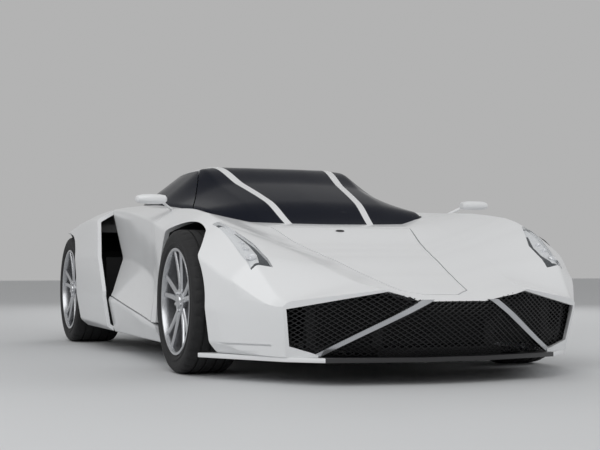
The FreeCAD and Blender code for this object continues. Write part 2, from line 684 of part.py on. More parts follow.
# Engine: one plain block with its gearbox, cut where the frame's rails pass.
block = primitive("Part::Box", "engine_block", [("Length", "510"), ("Width", "2 * Sizes.engine_half"),
                                                ("Height", "640 - Sizes.engine_bottom")],
                  FreeCAD.Placement(V(-1290, -S["engine_half"], S["engine_bottom"]), FreeCAD.Rotation()))
gearbox = primitive("Part::Box", "gearbox", [("Length", "351"), ("Width", "2 * Sizes.gearbox_half"),
                                             ("Height", "520 - Sizes.gearbox_bottom")],
                    FreeCAD.Placement(V(-1640, -S["gearbox_half"], S["gearbox_bottom"]), FreeCAD.Rotation()))
for piece, half, bottom in ((block, "engine_half", "engine_bottom"), (gearbox, "gearbox_half", "gearbox_bottom")):
    piece.setExpression("Placement.Base.y", "-Sizes." + half)
    piece.setExpression("Placement.Base.z", "Sizes." + bottom)
engine_node = doc.addObject("Part::Cut", "engine")
engine_node.Label = "engine"
engine_node.Base = joined("engine_and_gearbox", [block, gearbox])
engine_node.Tool = tub_node
NODES.append(engine_node)
doc.recompute()
engine = engine_node.Shape.copy()

# Cabin.
dash = prism([(829.7, 560), (829.7, 640), (560, 728), (400, 728), (330, 690), (360, 600), (560, 520), (829.7, 480)], "y", -600, 600)
dash = dash.common(front_space)
wheel_axis = V(-180, 0, 60)
wheel_axis.normalize()
wheel_middle = V(270, 360, 710)
column = Part.makeCylinder(24, 180, wheel_middle - wheel_axis * 209.3, wheel_axis)
node("dashboard", gather([dash.common(front_space).fuse(column)]))
tilt = FreeCAD.Rotation(V(0, 0, 1), wheel_axis)
ring = primitive("Part::Torus", "wheel_rim", [("Radius1", "Sizes.wheel_ring"), ("Radius2", "Sizes.wheel_grip")],
                 FreeCAD.Placement(wheel_middle, tilt))
hub = primitive("Part::Cylinder", "wheel_boss", [("Radius", "38"), ("Height", "29")],
                FreeCAD.Placement(wheel_middle - wheel_axis * 29, tilt))
grips = [ring, hub]
for number, angle in enumerate((0, 180, 270)):
    across = FreeCAD.Placement(V(0, 0, 0), FreeCAD.Rotation(V(0, 0, 1), angle))
    across = across.multiply(FreeCAD.Placement(V(0, -15, -16), FreeCAD.Rotation()))
    grips.append(primitive("Part::Box", "wheel_spoke_%d" % number,
                           [("Length", "Sizes.wheel_ring - 5"), ("Width", "30"), ("Height", "10")],
                           FreeCAD.Placement(wheel_middle, tilt).multiply(across)))
steering_wheel = joined("steering_wheel", grips)
steering_wheel.Label = "steering_wheel"
NODES.append(steering_wheel)

# Seats: a shell from the side, with a raised bolster along each edge.
SEAT = [(260, 140.3), (280, 270), (200, 280), (-150, 215), (-400, 690), (-450, 850), (-550, 850), (-540, 700), (-330, 140.3)]
BOLSTER = [(240, 200), (255, 300), (150, 315), (-100, 265), (-190, 400), (-350, 700), (-425, 790), (-500, 700), (-330, 200)]


def seat_body(name):
    seat = body_node(name)
    across = (-S["seat_outside"], "-Sizes.seat_outside")
    padded(seat, name + "_pan", "XZ_Plane", [SEAT], "Sizes.seat_outside - Sizes.seat_inside", across)
    padded(seat, name + "_outer_bolster", "XZ_Plane", [BOLSTER], "75", across)
    padded(seat, name + "_inner_bolster", "XZ_Plane", [BOLSTER], "75",
           (-S["seat_inside"] - 75, "-75 - Sizes.seat_inside"))
    return seat


mirror_node("seat_right", seat_body("seat_left"))


# Wheels: each turns about the body's own cross axis, its outer face towards the body's +Y.
def wheel(name, side, axle, height, rim, inside):
    """Tyre, rim and disc on one hub line; axle is the expression of the axle's place."""
    stub = "stub_radius"
    tyre = body_node("tyre_" + name, side, axle, "Sizes." + height)
    turned(tyre, "casing_" + name, [[
        ((inside, 12), (rim, 0)), ((inside, 4), (rim, 22)), ((inside, 0), (height, -38)), ((inside, 6), (height, -14)),
        ((inside, 26), (height, -2)), ((inside, 60), (height, 0)), (("wheel_face", -60), (height, 0)),
        (("wheel_face", -26), (height, -2)), (("wheel_face", -6), (height, -14)), (("wheel_face", 0), (height, -38)),
        (("wheel_face", -4), (rim, 22)), (("wheel_face", -12), (rim, 0))]])
    wheel_rim = body_node("rim_" + name, side, axle, "Sizes." + height)
    turned(wheel_rim, "barrel_" + name, [[
        ((inside, 8), (rim, -0.3)), (("wheel_face", -12), (rim, -0.3)), (("wheel_face", -5), (rim, -9)),
        (("wheel_face", -11), (rim, -22)), (("wheel_face", -40), (rim, -26)), ((inside, 8), (rim, -22))]])
    outline = [(-30, 36), (30, 36), (33, 96), (62, (rim, -14)), (-62, (rim, -14)), (-33, 96)]
    window = [(-7, 122), (7, 122), (38, (rim, -32)), (-38, (rim, -32))]
    spoke = padded(wheel_rim, "spoke_" + name, "XZ_Plane", [outline, window], "26",
                   (14 - S["wheel_face"], "14 - Sizes.wheel_face"))
    doc.recompute()
    ring = wheel_rim.newObject("PartDesign::PolarPattern", "spokes_" + name)
    ring.Originals = [spoke]
    ring.Axis = (origin_part(wheel_rim, "Y_Axis"), [""])
    ring.Angle = 360.0
    ring.setExpression("Occurrences", "Sizes.spokes")
    wheel_rim.Tip = ring
    turned(wheel_rim, "hub_" + name, [[
        (("wheel_face", -62), (stub, 0.3)), (("wheel_face", -33), (stub, 0.3)), (("wheel_face", -33), 0),
        (("wheel_face", -12), 0), (("wheel_face", -17), ("hub_radius", 0)), (("wheel_face", -62), ("hub_radius", 0))]])
    disc = body_node("disc_" + name, side, axle, "Sizes." + height)
    turned(disc, "plate_" + name, [[
        (("wheel_face", -150), (stub, 0.3)), (("wheel_face", -62.1), (stub, 0.3)), (("wheel_face", -62.1), 70),
        (("wheel_face", -122), 70), (("wheel_face", -122), ("disc_radius", 0)), (("wheel_face", -150), ("disc_radius", 0))]])


FRONT = ("Sizes.front_axle", "axle_height_front", "rim_radius_front", "tyre_inside_front")
REAR = ("Sizes.front_axle - Sizes.wheelbase", "axle_height_rear", "rim_radius_rear", "tyre_inside_rear")
for end, words in (("front", FRONT), ("rear", REAR)):
    wheel(end + "_left", 1, *words)
    wheel(end + "_right", -1, *words)

# Knuckles turn about an upright kingpin; wishbones end in eyes around its pins.
pin_y = S["kingpin_offset"]
outward = FreeCAD.Rotation(V(1, 0, 0), -90)
spindle = primitive("Part::Cylinder", "spindle", [("Radius", "Sizes.stub_radius"), ("Height", "135")],
                    FreeCAD.Placement(V(FRONT_X, 800, FRONT_Z), outward))
carrier = primitive("Part::Box", "carrier", [("Length", "90"), ("Width", "43"), ("Height", "220")],
                    FreeCAD.Placement(V(FRONT_X - 45, 775, FRONT_Z - 110), FreeCAD.Rotation()))
pins = primitive("Part::Cylinder", "kingpin", [("Radius", "12"), ("Height", "300")],
                 FreeCAD.Placement(V(FRONT_X, pin_y, FRONT_Z - 150), FreeCAD.Rotation()))
carrier.setExpression("Placement.Base.x", "Sizes.front_axle - 45")
carrier.setExpression("Placement.Base.y", "Sizes.kingpin_offset - 25")
carrier.setExpression("Placement.Base.z", "Sizes.axle_height_front - 110")
spindle.setExpression("Placement.Base.x", "Sizes.front_axle")
spindle.setExpression("Placement.Base.z", "Sizes.axle_height_front")
pins.setExpression("Placement.Base.x", "Sizes.front_axle")
pins.setExpression("Placement.Base.y", "Sizes.kingpin_offset")
pins.setExpression("Placement.Base.z", "Sizes.axle_height_front - 150")
knuckle = joined("knuckle_left", [spindle, carrier, pins])
knuckle.Label = "knuckle_left"
NODES.append(knuckle)
mirror_node("knuckle_right", knuckle)
arms = []
for z in (FRONT_Z - 125, FRONT_Z + 125):
    eye = Part.makeCylinder(24, 22, V(FRONT_X, pin_y, z - 11))
    arm = [rod((FRONT_X - 140, 300, z - 40), (FRONT_X - 8, pin_y - 14, z), 11), rod((FRONT_X + 140, 300, z - 40), (FRONT_X + 8, pin_y - 14, z), 11)]
    arm = fuse([eye] + arm).cut(Part.makeCylinder(12.3, 60, V(FRONT_X, pin_y, z - 30)))
    arms.append(arm)
arms = [a.cut(tub).common(box(800, 1700, 290, 1000, 0, 700)) for a in arms]
node("wishbones_front", gather(arms + [flip(a) for a in arms]))
upright = rod((REAR_X, 740, REAR_Z), (REAR_X, 925, REAR_Z), 30).fuse(box(REAR_X - 50, REAR_X + 50, 690, 741, REAR_Z - 120, REAR_Z + 120))
arms = []
for z in (REAR_Z - 100, REAR_Z + 100):
    arms.append(rod((REAR_X - 150, 330, z - 20), (REAR_X - 20, 689.9, z), 12).fuse(rod((REAR_X + 150, 330, z - 20), (REAR_X + 20, 689.9, z), 12)))
arms = [a.cut(tub).cut(upright).cut(engine) for a in arms]
shaft = rod((REAR_X, 150.2, REAR_Z), (REAR_X, 689.8, REAR_Z), 20)
rear_half = arms + [upright, shaft.cut(tub)]
node("rear_suspension", gather(rear_half + [flip(a) for a in rear_half]))

# Mirrors on the doors.
mirror = prism([(600, 848), (625, 822), (690, 828), (706, 848), (690, 874), (625, 874)], "y", 860, 1025)
stalk = rod((575, 790, 790), (640, 900, 845), 13).cut(front_solid)
mirror = fuse([mirror, stalk])
mirror_node("mirror_right", node("mirror_left", gather([mirror])))

doc.recompute()
for feature in doc.Objects:
    for word in feature.State:
        if word in ("Invalid", "Error"):
            raise RuntimeError("%s: %s" % (feature.Label, word))
os.makedirs("parts", exist_ok=True)
for feature in NODES:
    if feature.Shape.isNull() or not feature.Shape.isValid() or not feature.Shape.Solids:
        raise RuntimeError("bad shape: %s" % feature.Label)
    feature.Shape.exportStep("parts/%s.step" % feature.Label)
    print(feature.Label, len(feature.Shape.Solids), round(feature.Shape.Volume / 1e6, 2))
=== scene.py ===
# %% [markdown]
# # A white supercar, dressed in cells
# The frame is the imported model: every named piece at its real place and size, in metres, with the car's nose
# along +X, its left side along +Y and the road at Z = 0. Nothing in it is moved here. Each cell makes one
# piece or one finish, says what it is on the real car, and has it ride on the body that carries it.

# %% Load the frame
import json
import math

import bmesh
import bpy
from mathutils import Matrix, Vector
from mathutils.bvhtree import BVHTree


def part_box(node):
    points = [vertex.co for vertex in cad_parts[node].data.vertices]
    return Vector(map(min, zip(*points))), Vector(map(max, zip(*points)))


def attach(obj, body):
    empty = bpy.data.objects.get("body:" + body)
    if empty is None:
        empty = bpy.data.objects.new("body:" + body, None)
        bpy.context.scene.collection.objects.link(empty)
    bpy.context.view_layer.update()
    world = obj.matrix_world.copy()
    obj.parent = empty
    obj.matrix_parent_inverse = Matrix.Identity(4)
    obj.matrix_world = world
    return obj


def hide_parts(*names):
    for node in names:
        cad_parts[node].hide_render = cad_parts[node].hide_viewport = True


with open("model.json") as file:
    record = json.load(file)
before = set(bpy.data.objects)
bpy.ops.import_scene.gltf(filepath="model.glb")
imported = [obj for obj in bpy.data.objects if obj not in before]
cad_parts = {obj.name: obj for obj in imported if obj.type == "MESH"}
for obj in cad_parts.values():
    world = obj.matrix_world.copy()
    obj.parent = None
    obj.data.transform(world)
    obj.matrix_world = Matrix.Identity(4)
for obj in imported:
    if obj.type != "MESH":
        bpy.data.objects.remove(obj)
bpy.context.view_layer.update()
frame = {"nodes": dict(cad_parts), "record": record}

MM = 0.001
nodes = frame["nodes"]
print("pieces in the frame:", len(nodes))

# %% [markdown]
# ## The lines of the body
# A car body is drawn as a few lines that run from nose to tail: belly, sill, crest, bonnet crease. Each row
# below is one station along the car, in millimetres, and holds the height and breadth of every line there.
# The same numbers shape the solid model, so the painted skins made from them lie exactly where the solids
# do.

# %% Lines of the front, the rear wings and the cabin
FRONT_ROWS = [
    (2300, (560, 118), (600, 150), (640, 255), (645, 318), (600, 338), (330, 398), (105, 322), (0, 320)),
    (2000, (680, 118), (705, 155), (722, 260), (724, 318), (698, 354), (372, 433), (167, 390), (0, 392)),
    (1750, (810, 118), (850, 160), (872, 300), (868, 440), (770, 545), (440, 507), (222, 456), (0, 458)),
    (1400, (930, 118), (968, 175), (985, 350), (975, 600), (810, 706), (500, 604), (298, 552), (0, 553)),
    (1220, (935, 118), (975, 180), (992, 400), (982, 660), (812, 757), (520, 655), (338, 604), (0, 604)),
    (900, (925, 118), (968, 190), (958, 400), (950, 692), (802, 792), (560, 735), (405, 712), (0, 712)),
    (560, (920, 118), (962, 215), (905, 450), (925, 745), (800, 808), (640, 792), (480, 752), (0, 745)),
    (200, (915, 118), (955, 265), (868, 500), (900, 785), (790, 826), (690, 832), (480, 790), (0, 780)),
    (-200, (910, 118), (950, 300), (845, 540), (880, 825), (785, 848), (700, 862), (480, 810), (0, 800)),
    (-700, (905, 118), (948, 330), (835, 560), (865, 850), (780, 866), (700, 876), (480, 820), (0, 810)),
]
REAR_ROWS = [
    (-250, (905, 118), (955, 150), (985, 325), (985, 560), (955, 770), (850, 848), (620, 866), (480, 840),
     (0, 820)),
    (-700, (905, 118), (960, 160), (990, 330), (995, 560), (966, 790), (850, 850), (560, 860), (450, 840),
     (0, 820)),
    (-1100, (905, 118), (962, 165), (992, 330), (998, 560), (962, 778), (850, 838), (515, 842), (440, 825),
     (0, 810)),
    (-1460, (900, 118), (962, 165), (992, 330), (998, 540), (980, 728), (850, 792), (500, 818), (430, 806),
     (0, 800)),
    (-1800, (890, 118), (955, 165), (985, 320), (988, 500), (966, 700), (850, 755), (485, 796), (400, 796),
     (0, 797)),
    (-2260, (860, 130), (930, 180), (960, 300), (962, 450), (930, 690), (850, 716), (460, 763), (300, 765),
     (0, 763)),
]
CABIN_ROWS = [
    (900, (640, 560), (590, 650), (330, 690), (226, 697), (140, 699), (0, 700)),
    (560, (690, 600), (628, 808), (400, 842), (262, 852), (150, 854), (0, 856)),
    (190, (730, 600), (668, 846), (425, 960), (302, 976), (170, 979), (0, 981)),
    (-130, (760, 600), (695, 870), (445, 1076), (338, 1090), (170, 1090), (0, 1090)),
    (-420, (760, 600), (690, 890), (462, 1070), (310, 1112), (150, 1078), (0, 1010)),
    (-840, (700, 600), (620, 885), (452, 1004), (280, 1044), (130, 985), (0, 915)),
    (-1340, (640, 600), (510, 826), (398, 918), (252, 958), (112, 890), (0, 838)),
    (-1900, (600, 600), (470, 782), (335, 815), (216, 853), (95, 815), (0, 790)),
    (-2260, (560, 600), (430, 735), (300, 745), (190, 752), (80, 745), (0, 740)),
]
PLAN_ROWS = [
    (60, (2120, 0), (2120, 150), (2060, 340), (1945, 680), (1530, 975), (1250, 1010), (-1250, 1010),
     (-1990, 1010), (-1990, 850), (-1800, 560), (-1800, 0)),
    (300, (2232, 0), (2236, 150), (2165, 335), (1992, 712), (1540, 980), (1250, 1010), (-1250, 1010),
     (-2040, 1010), (-2040, 850), (-1915, 560), (-1915, 0)),
    (405, (2238, 0), (2240, 150), (2202, 330), (2004, 722), (1545, 982), (1250, 1010), (-1250, 1010),
     (-2008, 1010), (-2008, 835), (-2016, 580), (-2016, 0)),
    (760, (2238, 0), (2240, 150), (2202, 330), (2004, 722), (1545, 982), (1250, 1010), (-1250, 1010),
     (-2200, 1010), (-2200, 835), (-2222, 565), (-2240, 0)),
    (1300, (2238, 0), (2240, 150), (2202, 330), (2004, 722), (1545, 982), (1250, 1010), (-1250, 1010),
     (-2200, 1010), (-2200, 835), (-2222, 565), (-2240, 0)),
]
print("stations:", len(FRONT_ROWS), len(REAR_ROWS), len(CABIN_ROWS))

# %% [markdown]
# ## From lines to a skin
# Between two stations a line must bend smoothly without swinging past either, so each value follows a curve
# whose slope is zero at a peak. Across the car the skin is nearly flat from line to line, with each line
# rounded by a small radius, because a pressed panel has no knife edge and the rounding is what catches the
# light.

# %% Helpers that draw a skin
def blend(a, b, c, d, t):
    """A value between b and c that never swings past them."""
    if c == b:
        return b
    m0 = 0.0 if (b - a) * (c - b) <= 0 else 2.0 * (b - a) * (c - b) / (c - a)
    m1 = 0.0 if (c - b) * (d - c) <= 0 else 2.0 * (c - b) * (d - c) / (d - b)
    t2 = t * t
    t3 = t2 * t
    return b * (2 * t3 - 3 * t2 + 1) + m0 * (t3 - 2 * t2 + t) + c * (3 * t2 - 2 * t3) + m1 * (t3 - t2)


def fair(rows, step):
    """Stations about every step millimetres along the car."""
    out = []
    last = len(rows) - 1
    for i in range(last):
        a, b, c, d = rows[max(i - 1, 0)], rows[i], rows[i + 1], rows[min(i + 2, last)]
        count = max(2, int(round(abs(c[0] - b[0]) / step)))
        for k in range(count):
            t = k / count
            row = [b[0] + (c[0] - b[0]) * t]
            for around in zip(a[1:], b[1:], c[1:], d[1:]):
                row.append(tuple(blend(*four, t) for four in zip(*around)))
            out.append(row)
    out.append(list(rows[last]))
    return out


def grow(points, d):
    """Offset a closed outline by d, inwards when negative."""
    before, after = points[-1:] + points[:-1], points[1:] + points[:1]
    area = sum(x0 * y1 - x1 * y0 for (x0, y0), (x1, y1) in zip(points, after))
    turn = 1.0 if area > 0 else -1.0
    out = []
    for (ax, ay), (bx, by), (cx, cy) in zip(before, points, after):
        ux, uy, vx, vy = bx - ax, by - ay, cx - bx, cy - by
        lu, lv = math.hypot(ux, uy), math.hypot(vx, vy)
        nx = turn * (uy / lu + vy / lv)
        ny = -turn * (ux / lu + vx / lv)
        k = 2.0 * d / (nx * nx + ny * ny)
        out.append((bx + nx * k, by + ny * k))
    return out


SIDE_SHARE = 0.42  # the most of a side that one corner's rounding may take


def rounded(points, radius, arc=4, flat=3):
    """A closed outline with each corner rounded and each side divided, always to the same count."""
    n = len(points)
    out = []
    for i in range(n):
        a, b, c = Vector(points[i - 1]), Vector(points[i]), Vector(points[(i + 1) % n])
        reach = min(radius, SIDE_SHARE * (a - b).length, SIDE_SHARE * (c - b).length)
        start = b + (a - b).normalized() * reach
        end = b + (c - b).normalized() * reach
        for k in range(arc + 1):
            t = k / arc
            out.append(start * (1 - t) ** 2 + b * 2 * t * (1 - t) + end * t ** 2)
        after = Vector(points[(i + 2) % n])
        reach = min(radius, SIDE_SHARE * (b - c).length, SIDE_SHARE * (after - c).length)
        stop = c + (b - c).normalized() * reach
        for k in range(1, flat):
            out.append(end.lerp(stop, k / flat))
    return out


def between(a, b, t):
    return tuple(p + (q - p) * t for p, q in zip(a, b))


def mirrored(half):
    """An outline in (y, z) from its left half; a point on the middle line is not doubled."""
    return list(half) + [(-y, z) for y, z in half[::-1] if abs(y) > 1e-6]


def both_sides(points):
    """An outline in (x, y) from its left half."""
    return list(points) + [(x, -y) for x, y in points[::-1]]


def circle(count):
    """The cosine and sine of evenly spaced angles, once round."""
    turns = [2 * math.pi * k / count for k in range(count)]
    return [(math.cos(turn), math.sin(turn)) for turn in turns]


def fuller(share, power):
    """A cosine or sine pushed outwards, which makes an oval squarer."""
    return math.copysign(abs(share) ** power, share)


def band(points, width):
    """The outline of a bent bar from its middle line."""
    left, right = [], []
    for i, (x, y) in enumerate(points):
        ax, ay = points[max(i - 1, 0)]
        bx, by = points[min(i + 1, len(points) - 1)]
        length = math.hypot(bx - ax, by - ay)
        nx, ny = -(by - ay) / length * width / 2.0, (bx - ax) / length * width / 2.0
        left.append((x + nx, y + ny))
        right.append((x - nx, y - ny))
    return left + right[::-1]


print("front stations, 30 mm apart:", len(fair(FRONT_ROWS, 30.0)))

# %% [markdown]
# ## From outlines to solids
# Every piece starts as rings of points, like the ribs of a boat, with faces drawn from ring to ring. A
# closed solid can then be cut, joined or overlapped with another, much as sheet and block are cut on a
# bench.

# %% Helpers that build solids
def new_object(name, mesh):
    obj = bpy.data.objects.new(name, mesh)
    bpy.context.scene.collection.objects.link(obj)
    return obj


def drop(*pieces):
    for piece in pieces:
        bpy.data.objects.remove(piece, do_unlink=True)


def finished(name, bm):
    """What bm holds, as a new object."""
    mesh = bpy.data.meshes.new(name)
    bm.to_mesh(mesh)
    bm.free()
    return new_object(name, mesh)


def bridge(bm, one, two):
    """Faces from one ring to the next of equal count."""
    n = len(one)
    for i in range(n):
        bm.faces.new((one[i], one[(i + 1) % n], two[(i + 1) % n], two[i]))


def turn_outwards(bm):
    bmesh.ops.recalc_face_normals(bm, faces=bm.faces)
    if bm.calc_volume(signed=True) < 0:
        bmesh.ops.reverse_faces(bm, faces=bm.faces)


def closed_loft(name, rings):
    """A closed solid through rings of equal count, capped at both ends, faces outwards."""
    bm = bmesh.new()
    loops = [[bm.verts.new(p) for p in ring] for ring in rings]
    for one, two in zip(loops, loops[1:]):
        bridge(bm, one, two)
    bm.faces.new(loops[0][::-1])
    bm.faces.new(loops[-1])
    bmesh.ops.triangulate(bm, faces=[f for f in bm.faces if len(f.verts) > 4])
    turn_outwards(bm)
    return finished(name, bm)


def turned(name, profile, steps=96):
    """A closed profile of (y, radius) in millimetres, turned like a pot about the cross axis."""
    bm = bmesh.new()
    rings = [[bm.verts.new((r * s * MM, y * MM, r * c * MM)) for y, r in profile] for c, s in circle(steps)]
    for one, two in zip(rings, rings[1:] + rings[:1]):
        bridge(bm, one, two)
    bmesh.ops.remove_doubles(bm, verts=bm.verts, dist=1e-6)
    turn_outwards(bm)
    return finished(name, bm)


def stacked(name, sections, count):
    """Ovals of (half length, half breadth, height), one above the other about +Z."""
    rings = [[(a * c * MM, b * s * MM, h * MM) for c, s in circle(count)] for a, b, h in sections]
    return closed_loft(name, rings)


def skin(name, rows, inset=0.0, radius=14.0, step=30.0):
    """A body's closed skin through its stations, or its inner wall where it is inset."""
    rings = []
    for row in fair(rows, step):
        outline = mirrored(row[1:])
        if inset:
            outline = grow(outline, -inset)
        rings.append([(row[0] * MM, p[0] * MM, p[1] * MM) for p in rounded(outline, radius)])
    return closed_loft(name, rings)


def plan_outline(row, inset):
    """One plan row as a closed outline: nose to tail on one side, and back on the other."""
    outline = [(x, -y) for x, y in row[1:]] + [(x, y) for x, y in row[2:-1]][::-1]
    return grow(outline, -inset) if inset else outline


def level(points, z):
    return [(x * MM, y * MM, z * MM) for x, y in points]


SIDE_PARTS = 4      # each side of the plan is divided in so many
LEVEL_STEP = 20.0   # and each leaning face about every so many millimetres


def plan_block(name, inset=0.0):
    """The leaning outline of nose and tail; its twisted faces are fine, or a wall between two would tear."""
    heights = [row[0] for row in PLAN_ROWS]
    outlines = []
    for row in PLAN_ROWS:
        outline = plan_outline(row, inset)
        sides = zip(outline, outline[1:] + outline[:1])
        outlines.append([between(a, b, k / SIDE_PARTS) for a, b in sides for k in range(SIDE_PARTS)])
    rings = []
    for low, high, one, two in zip(heights, heights[1:], outlines, outlines[1:]):
        count = 1 if one == two else int((high - low) / LEVEL_STEP)
        for k in range(count):
            points = [between(a, b, k / count) for a, b in zip(one, two)]
            rings.append(level(points, low + (high - low) * k / count))
    rings.append(level(outlines[-1], heights[-1]))
    return closed_loft(name, rings)


def prism(points, along, low, high):
    """An outline in millimetres, extruded: (x, y) along z, (x, z) along y or (y, z) along x."""
    order = {"z": (0, 1, 2), "y": (0, 2, 1), "x": (2, 0, 1)}[along]
    rings = [[Vector([(a, b, c)[i] for i in order]) * MM for a, b in points] for c in (low, high)]
    return closed_loft("cut", rings)


def box(x0, x1, y0, y1, z0, z1):
    return prism([(x0, y0), (x1, y0), (x1, y1), (x0, y1)], "z", z0, z1)


def disc_along(axis, centre, radius, low, high, steps=24):
    """A short cylinder along z or y, centred on (x, y) or (x, z)."""
    ring = [(centre[0] + radius * c, centre[1] + radius * s) for c, s in circle(steps)]
    return prism(ring, axis, low, high)


print("corners of the plan's outline:", len(plan_outline(PLAN_ROWS[0], 0.0)))

# %% [markdown]
# ## Cutting and joining
# A tool is a solid like any other, made a little too long and used up by its cut. Most cuts come in pairs,
# one for each side of the car. Crumbs that a cut leaves behind are swept away.

# %% Helpers that cut and join
def baked(obj):
    """Make what a piece's modifiers show its own plain mesh."""
    mesh = bpy.data.meshes.new_from_object(obj.evaluated_get(bpy.context.evaluated_depsgraph_get()))
    obj.modifiers.clear()
    old = obj.data
    obj.data = mesh
    bpy.data.meshes.remove(old)
    return obj


def carve(target, tools, how="DIFFERENCE", keep_tools=False):
    """Cut, join or overlap a solid with others, and leave a plain mesh."""
    for tool in tools:
        mod = target.modifiers.new("carve", "BOOLEAN")
        mod.operation = how
        mod.solver = "MANIFOLD"
        mod.object = tool
        baked(target)
        if not keep_tools:
            drop(tool)
    return target


def clear_of(target, *solids):
    """Cut a solid free of others, which stay."""
    return carve(target, solids, keep_tools=True)


def overlap(target, tool, keep_tool=False):
    """Only what a solid shares with another."""
    return carve(target, [tool], "INTERSECT", keep_tool)


def copy_of(obj, name):
    return new_object(name, obj.data.copy())


def twin(obj, name):
    """The same solid on the car's other side."""
    copy = copy_of(obj, name)
    copy.data.transform(Matrix.Scale(-1, 4, (0, 1, 0)))
    copy.data.flip_normals()
    return copy


def pair(tool):
    """A cutting tool and its twin."""
    return [tool, twin(tool, "cut")]


def joined(name, pieces):
    """Several loose pieces as one mesh."""
    bm = bmesh.new()
    for piece in pieces:
        bm.from_mesh(piece.data)
        drop(piece)
    return finished(name, bm)


def turn_from(start, end):
    """The turn that brings one direction onto another."""
    return Vector(start).rotation_difference(end).to_matrix().to_4x4()


def shift(place):
    """A move by a vector in millimetres."""
    return Matrix.Translation(place * MM)


def at(x, y, z):
    """A move by three lengths in millimetres."""
    return Matrix.Translation((x * MM, y * MM, z * MM))


HARD_EDGE = math.radians(40.0)


def soften(obj, width=2.0, segments=2):
    """A small round along every hard edge, so that the edge catches light."""
    mod = obj.modifiers.new("soften", "BEVEL")
    mod.width = width * MM
    mod.segments = segments
    mod.limit_method = "ANGLE"
    mod.angle_limit = HARD_EDGE
    return baked(obj)


def keep_large(obj, least=60):
    """Drop the crumbs a cut may leave: loose islands of very few faces."""
    bm = bmesh.new()
    bm.from_mesh(obj.data)
    bmesh.ops.remove_doubles(bm, verts=bm.verts, dist=1e-6)
    seen = set()
    for face in list(bm.faces):
        if face in seen:
            continue
        island = [face]
        seen.add(face)
        for f in island:
            for other in [other for edge in f.edges for other in edge.link_faces]:
                if other not in seen:
                    seen.add(other)
                    island.append(other)
        if len(island) < least:
            bmesh.ops.delete(bm, geom=island, context="FACES")
    bm.to_mesh(obj.data)
    bm.free()
    return obj


# %% [markdown]
# ## Finishing a piece
# Every piece ends the same way: shaded smooth up to its hard edges, given its finish and seated on the body
# that carries it. A painted shell shows bare black on its inner side, so its inner faces get a second
# finish.

# %% Helpers that finish a piece
def sizes(obj):
    """Print a piece's name, faces and reach."""
    points = [v.co for v in obj.data.vertices]
    low = [round(min(p[i] for p in points), 3) for i in range(3)]
    high = [round(max(p[i] for p in points), 3) for i in range(3)]
    print(obj.name, len(obj.data.polygons), "faces", low, high)


def dress(obj, material, body, replaces=(), sharp=32.0):
    """Shade, paint and seat one finished piece."""
    mesh = obj.data
    mesh.materials.clear()
    mesh.materials.append(material)
    for polygon in mesh.polygons:
        polygon.material_index = 0
    mesh.shade_smooth()
    mesh.set_sharp_from_angle(angle=math.radians(sharp))
    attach(obj, body)
    if replaces:
        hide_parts(*replaces)
    sizes(obj)
    return obj


def line_inside(obj, outside, finish, depth=12.0):
    """Give the faces whose every corner lies deeper than depth under an outside surface a second finish."""
    tree = BVHTree.FromObject(outside, bpy.context.evaluated_depsgraph_get())
    obj.data.materials.append(finish)
    deep = [(tree.find_nearest(vertex.co)[3] or 0.0) > depth * MM for vertex in obj.data.vertices]
    inner = [polygon for polygon in obj.data.polygons if all(deep[i] for i in polygon.vertices)]
    for polygon in inner:
        polygon.material_index = len(obj.data.materials) - 1
    print(obj.name, len(inner), "inner faces of", len(obj.data.polygons))


# %% [markdown]
# ## Paint
# White car paint is a pale base with a hard clear coat over it, so the scene shows twice in it: softly in
# the base and sharply in the coat. A very faint change of roughness over the panels keeps it from looking
# like plastic.

# %% Paint and the other finishes
def material(name, color, rough=0.5, metal=0.0, coat=0.0, coat_rough=0.05, bump=0.0, scale=200.0, alpha=1.0,
             ior=1.45, emission=None, strength=0.0, vary=0.0, shine=0.5):
    """A principled finish with grain, where asked, in its roughness and in its surface."""
    mat = bpy.data.materials.new(name)
    mat.use_nodes = True
    tree = mat.node_tree
    shader = tree.nodes["Principled BSDF"]
    values = {"Base Color": (*color, 1.0), "Roughness": rough, "Metallic": metal, "Coat Weight": coat,
              "Coat Roughness": coat_rough, "IOR": ior, "Specular IOR Level": shine, "Alpha": alpha}
    if emission:
        values.update({"Emission Color": (*emission, 1.0), "Emission Strength": strength})
    for label, value in values.items():
        shader.inputs[label].default_value = value
    place = tree.nodes.new("ShaderNodeTexCoord")
    grain = tree.nodes.new("ShaderNodeTexNoise")
    grain.inputs["Scale"].default_value = scale
    grain.inputs["Detail"].default_value = 3.0
    tree.links.new(place.outputs["Object"], grain.inputs["Vector"])
    if vary:
        ramp = tree.nodes.new("ShaderNodeMapRange")
        ramp.inputs["To Min"].default_value = max(rough - vary, 0.02)
        ramp.inputs["To Max"].default_value = min(rough + vary, 1.0)
        tree.links.new(grain.outputs["Fac"], ramp.inputs["Value"])
        tree.links.new(ramp.outputs["Result"], shader.inputs["Roughness"])
    if bump:
        rise = tree.nodes.new("ShaderNodeBump")
        rise.inputs["Strength"].default_value = bump
        rise.inputs["Distance"].default_value = MM
        tree.links.new(grain.outputs["Fac"], rise.inputs["Height"])
        tree.links.new(rise.outputs["Normal"], shader.inputs["Normal"])
    return mat


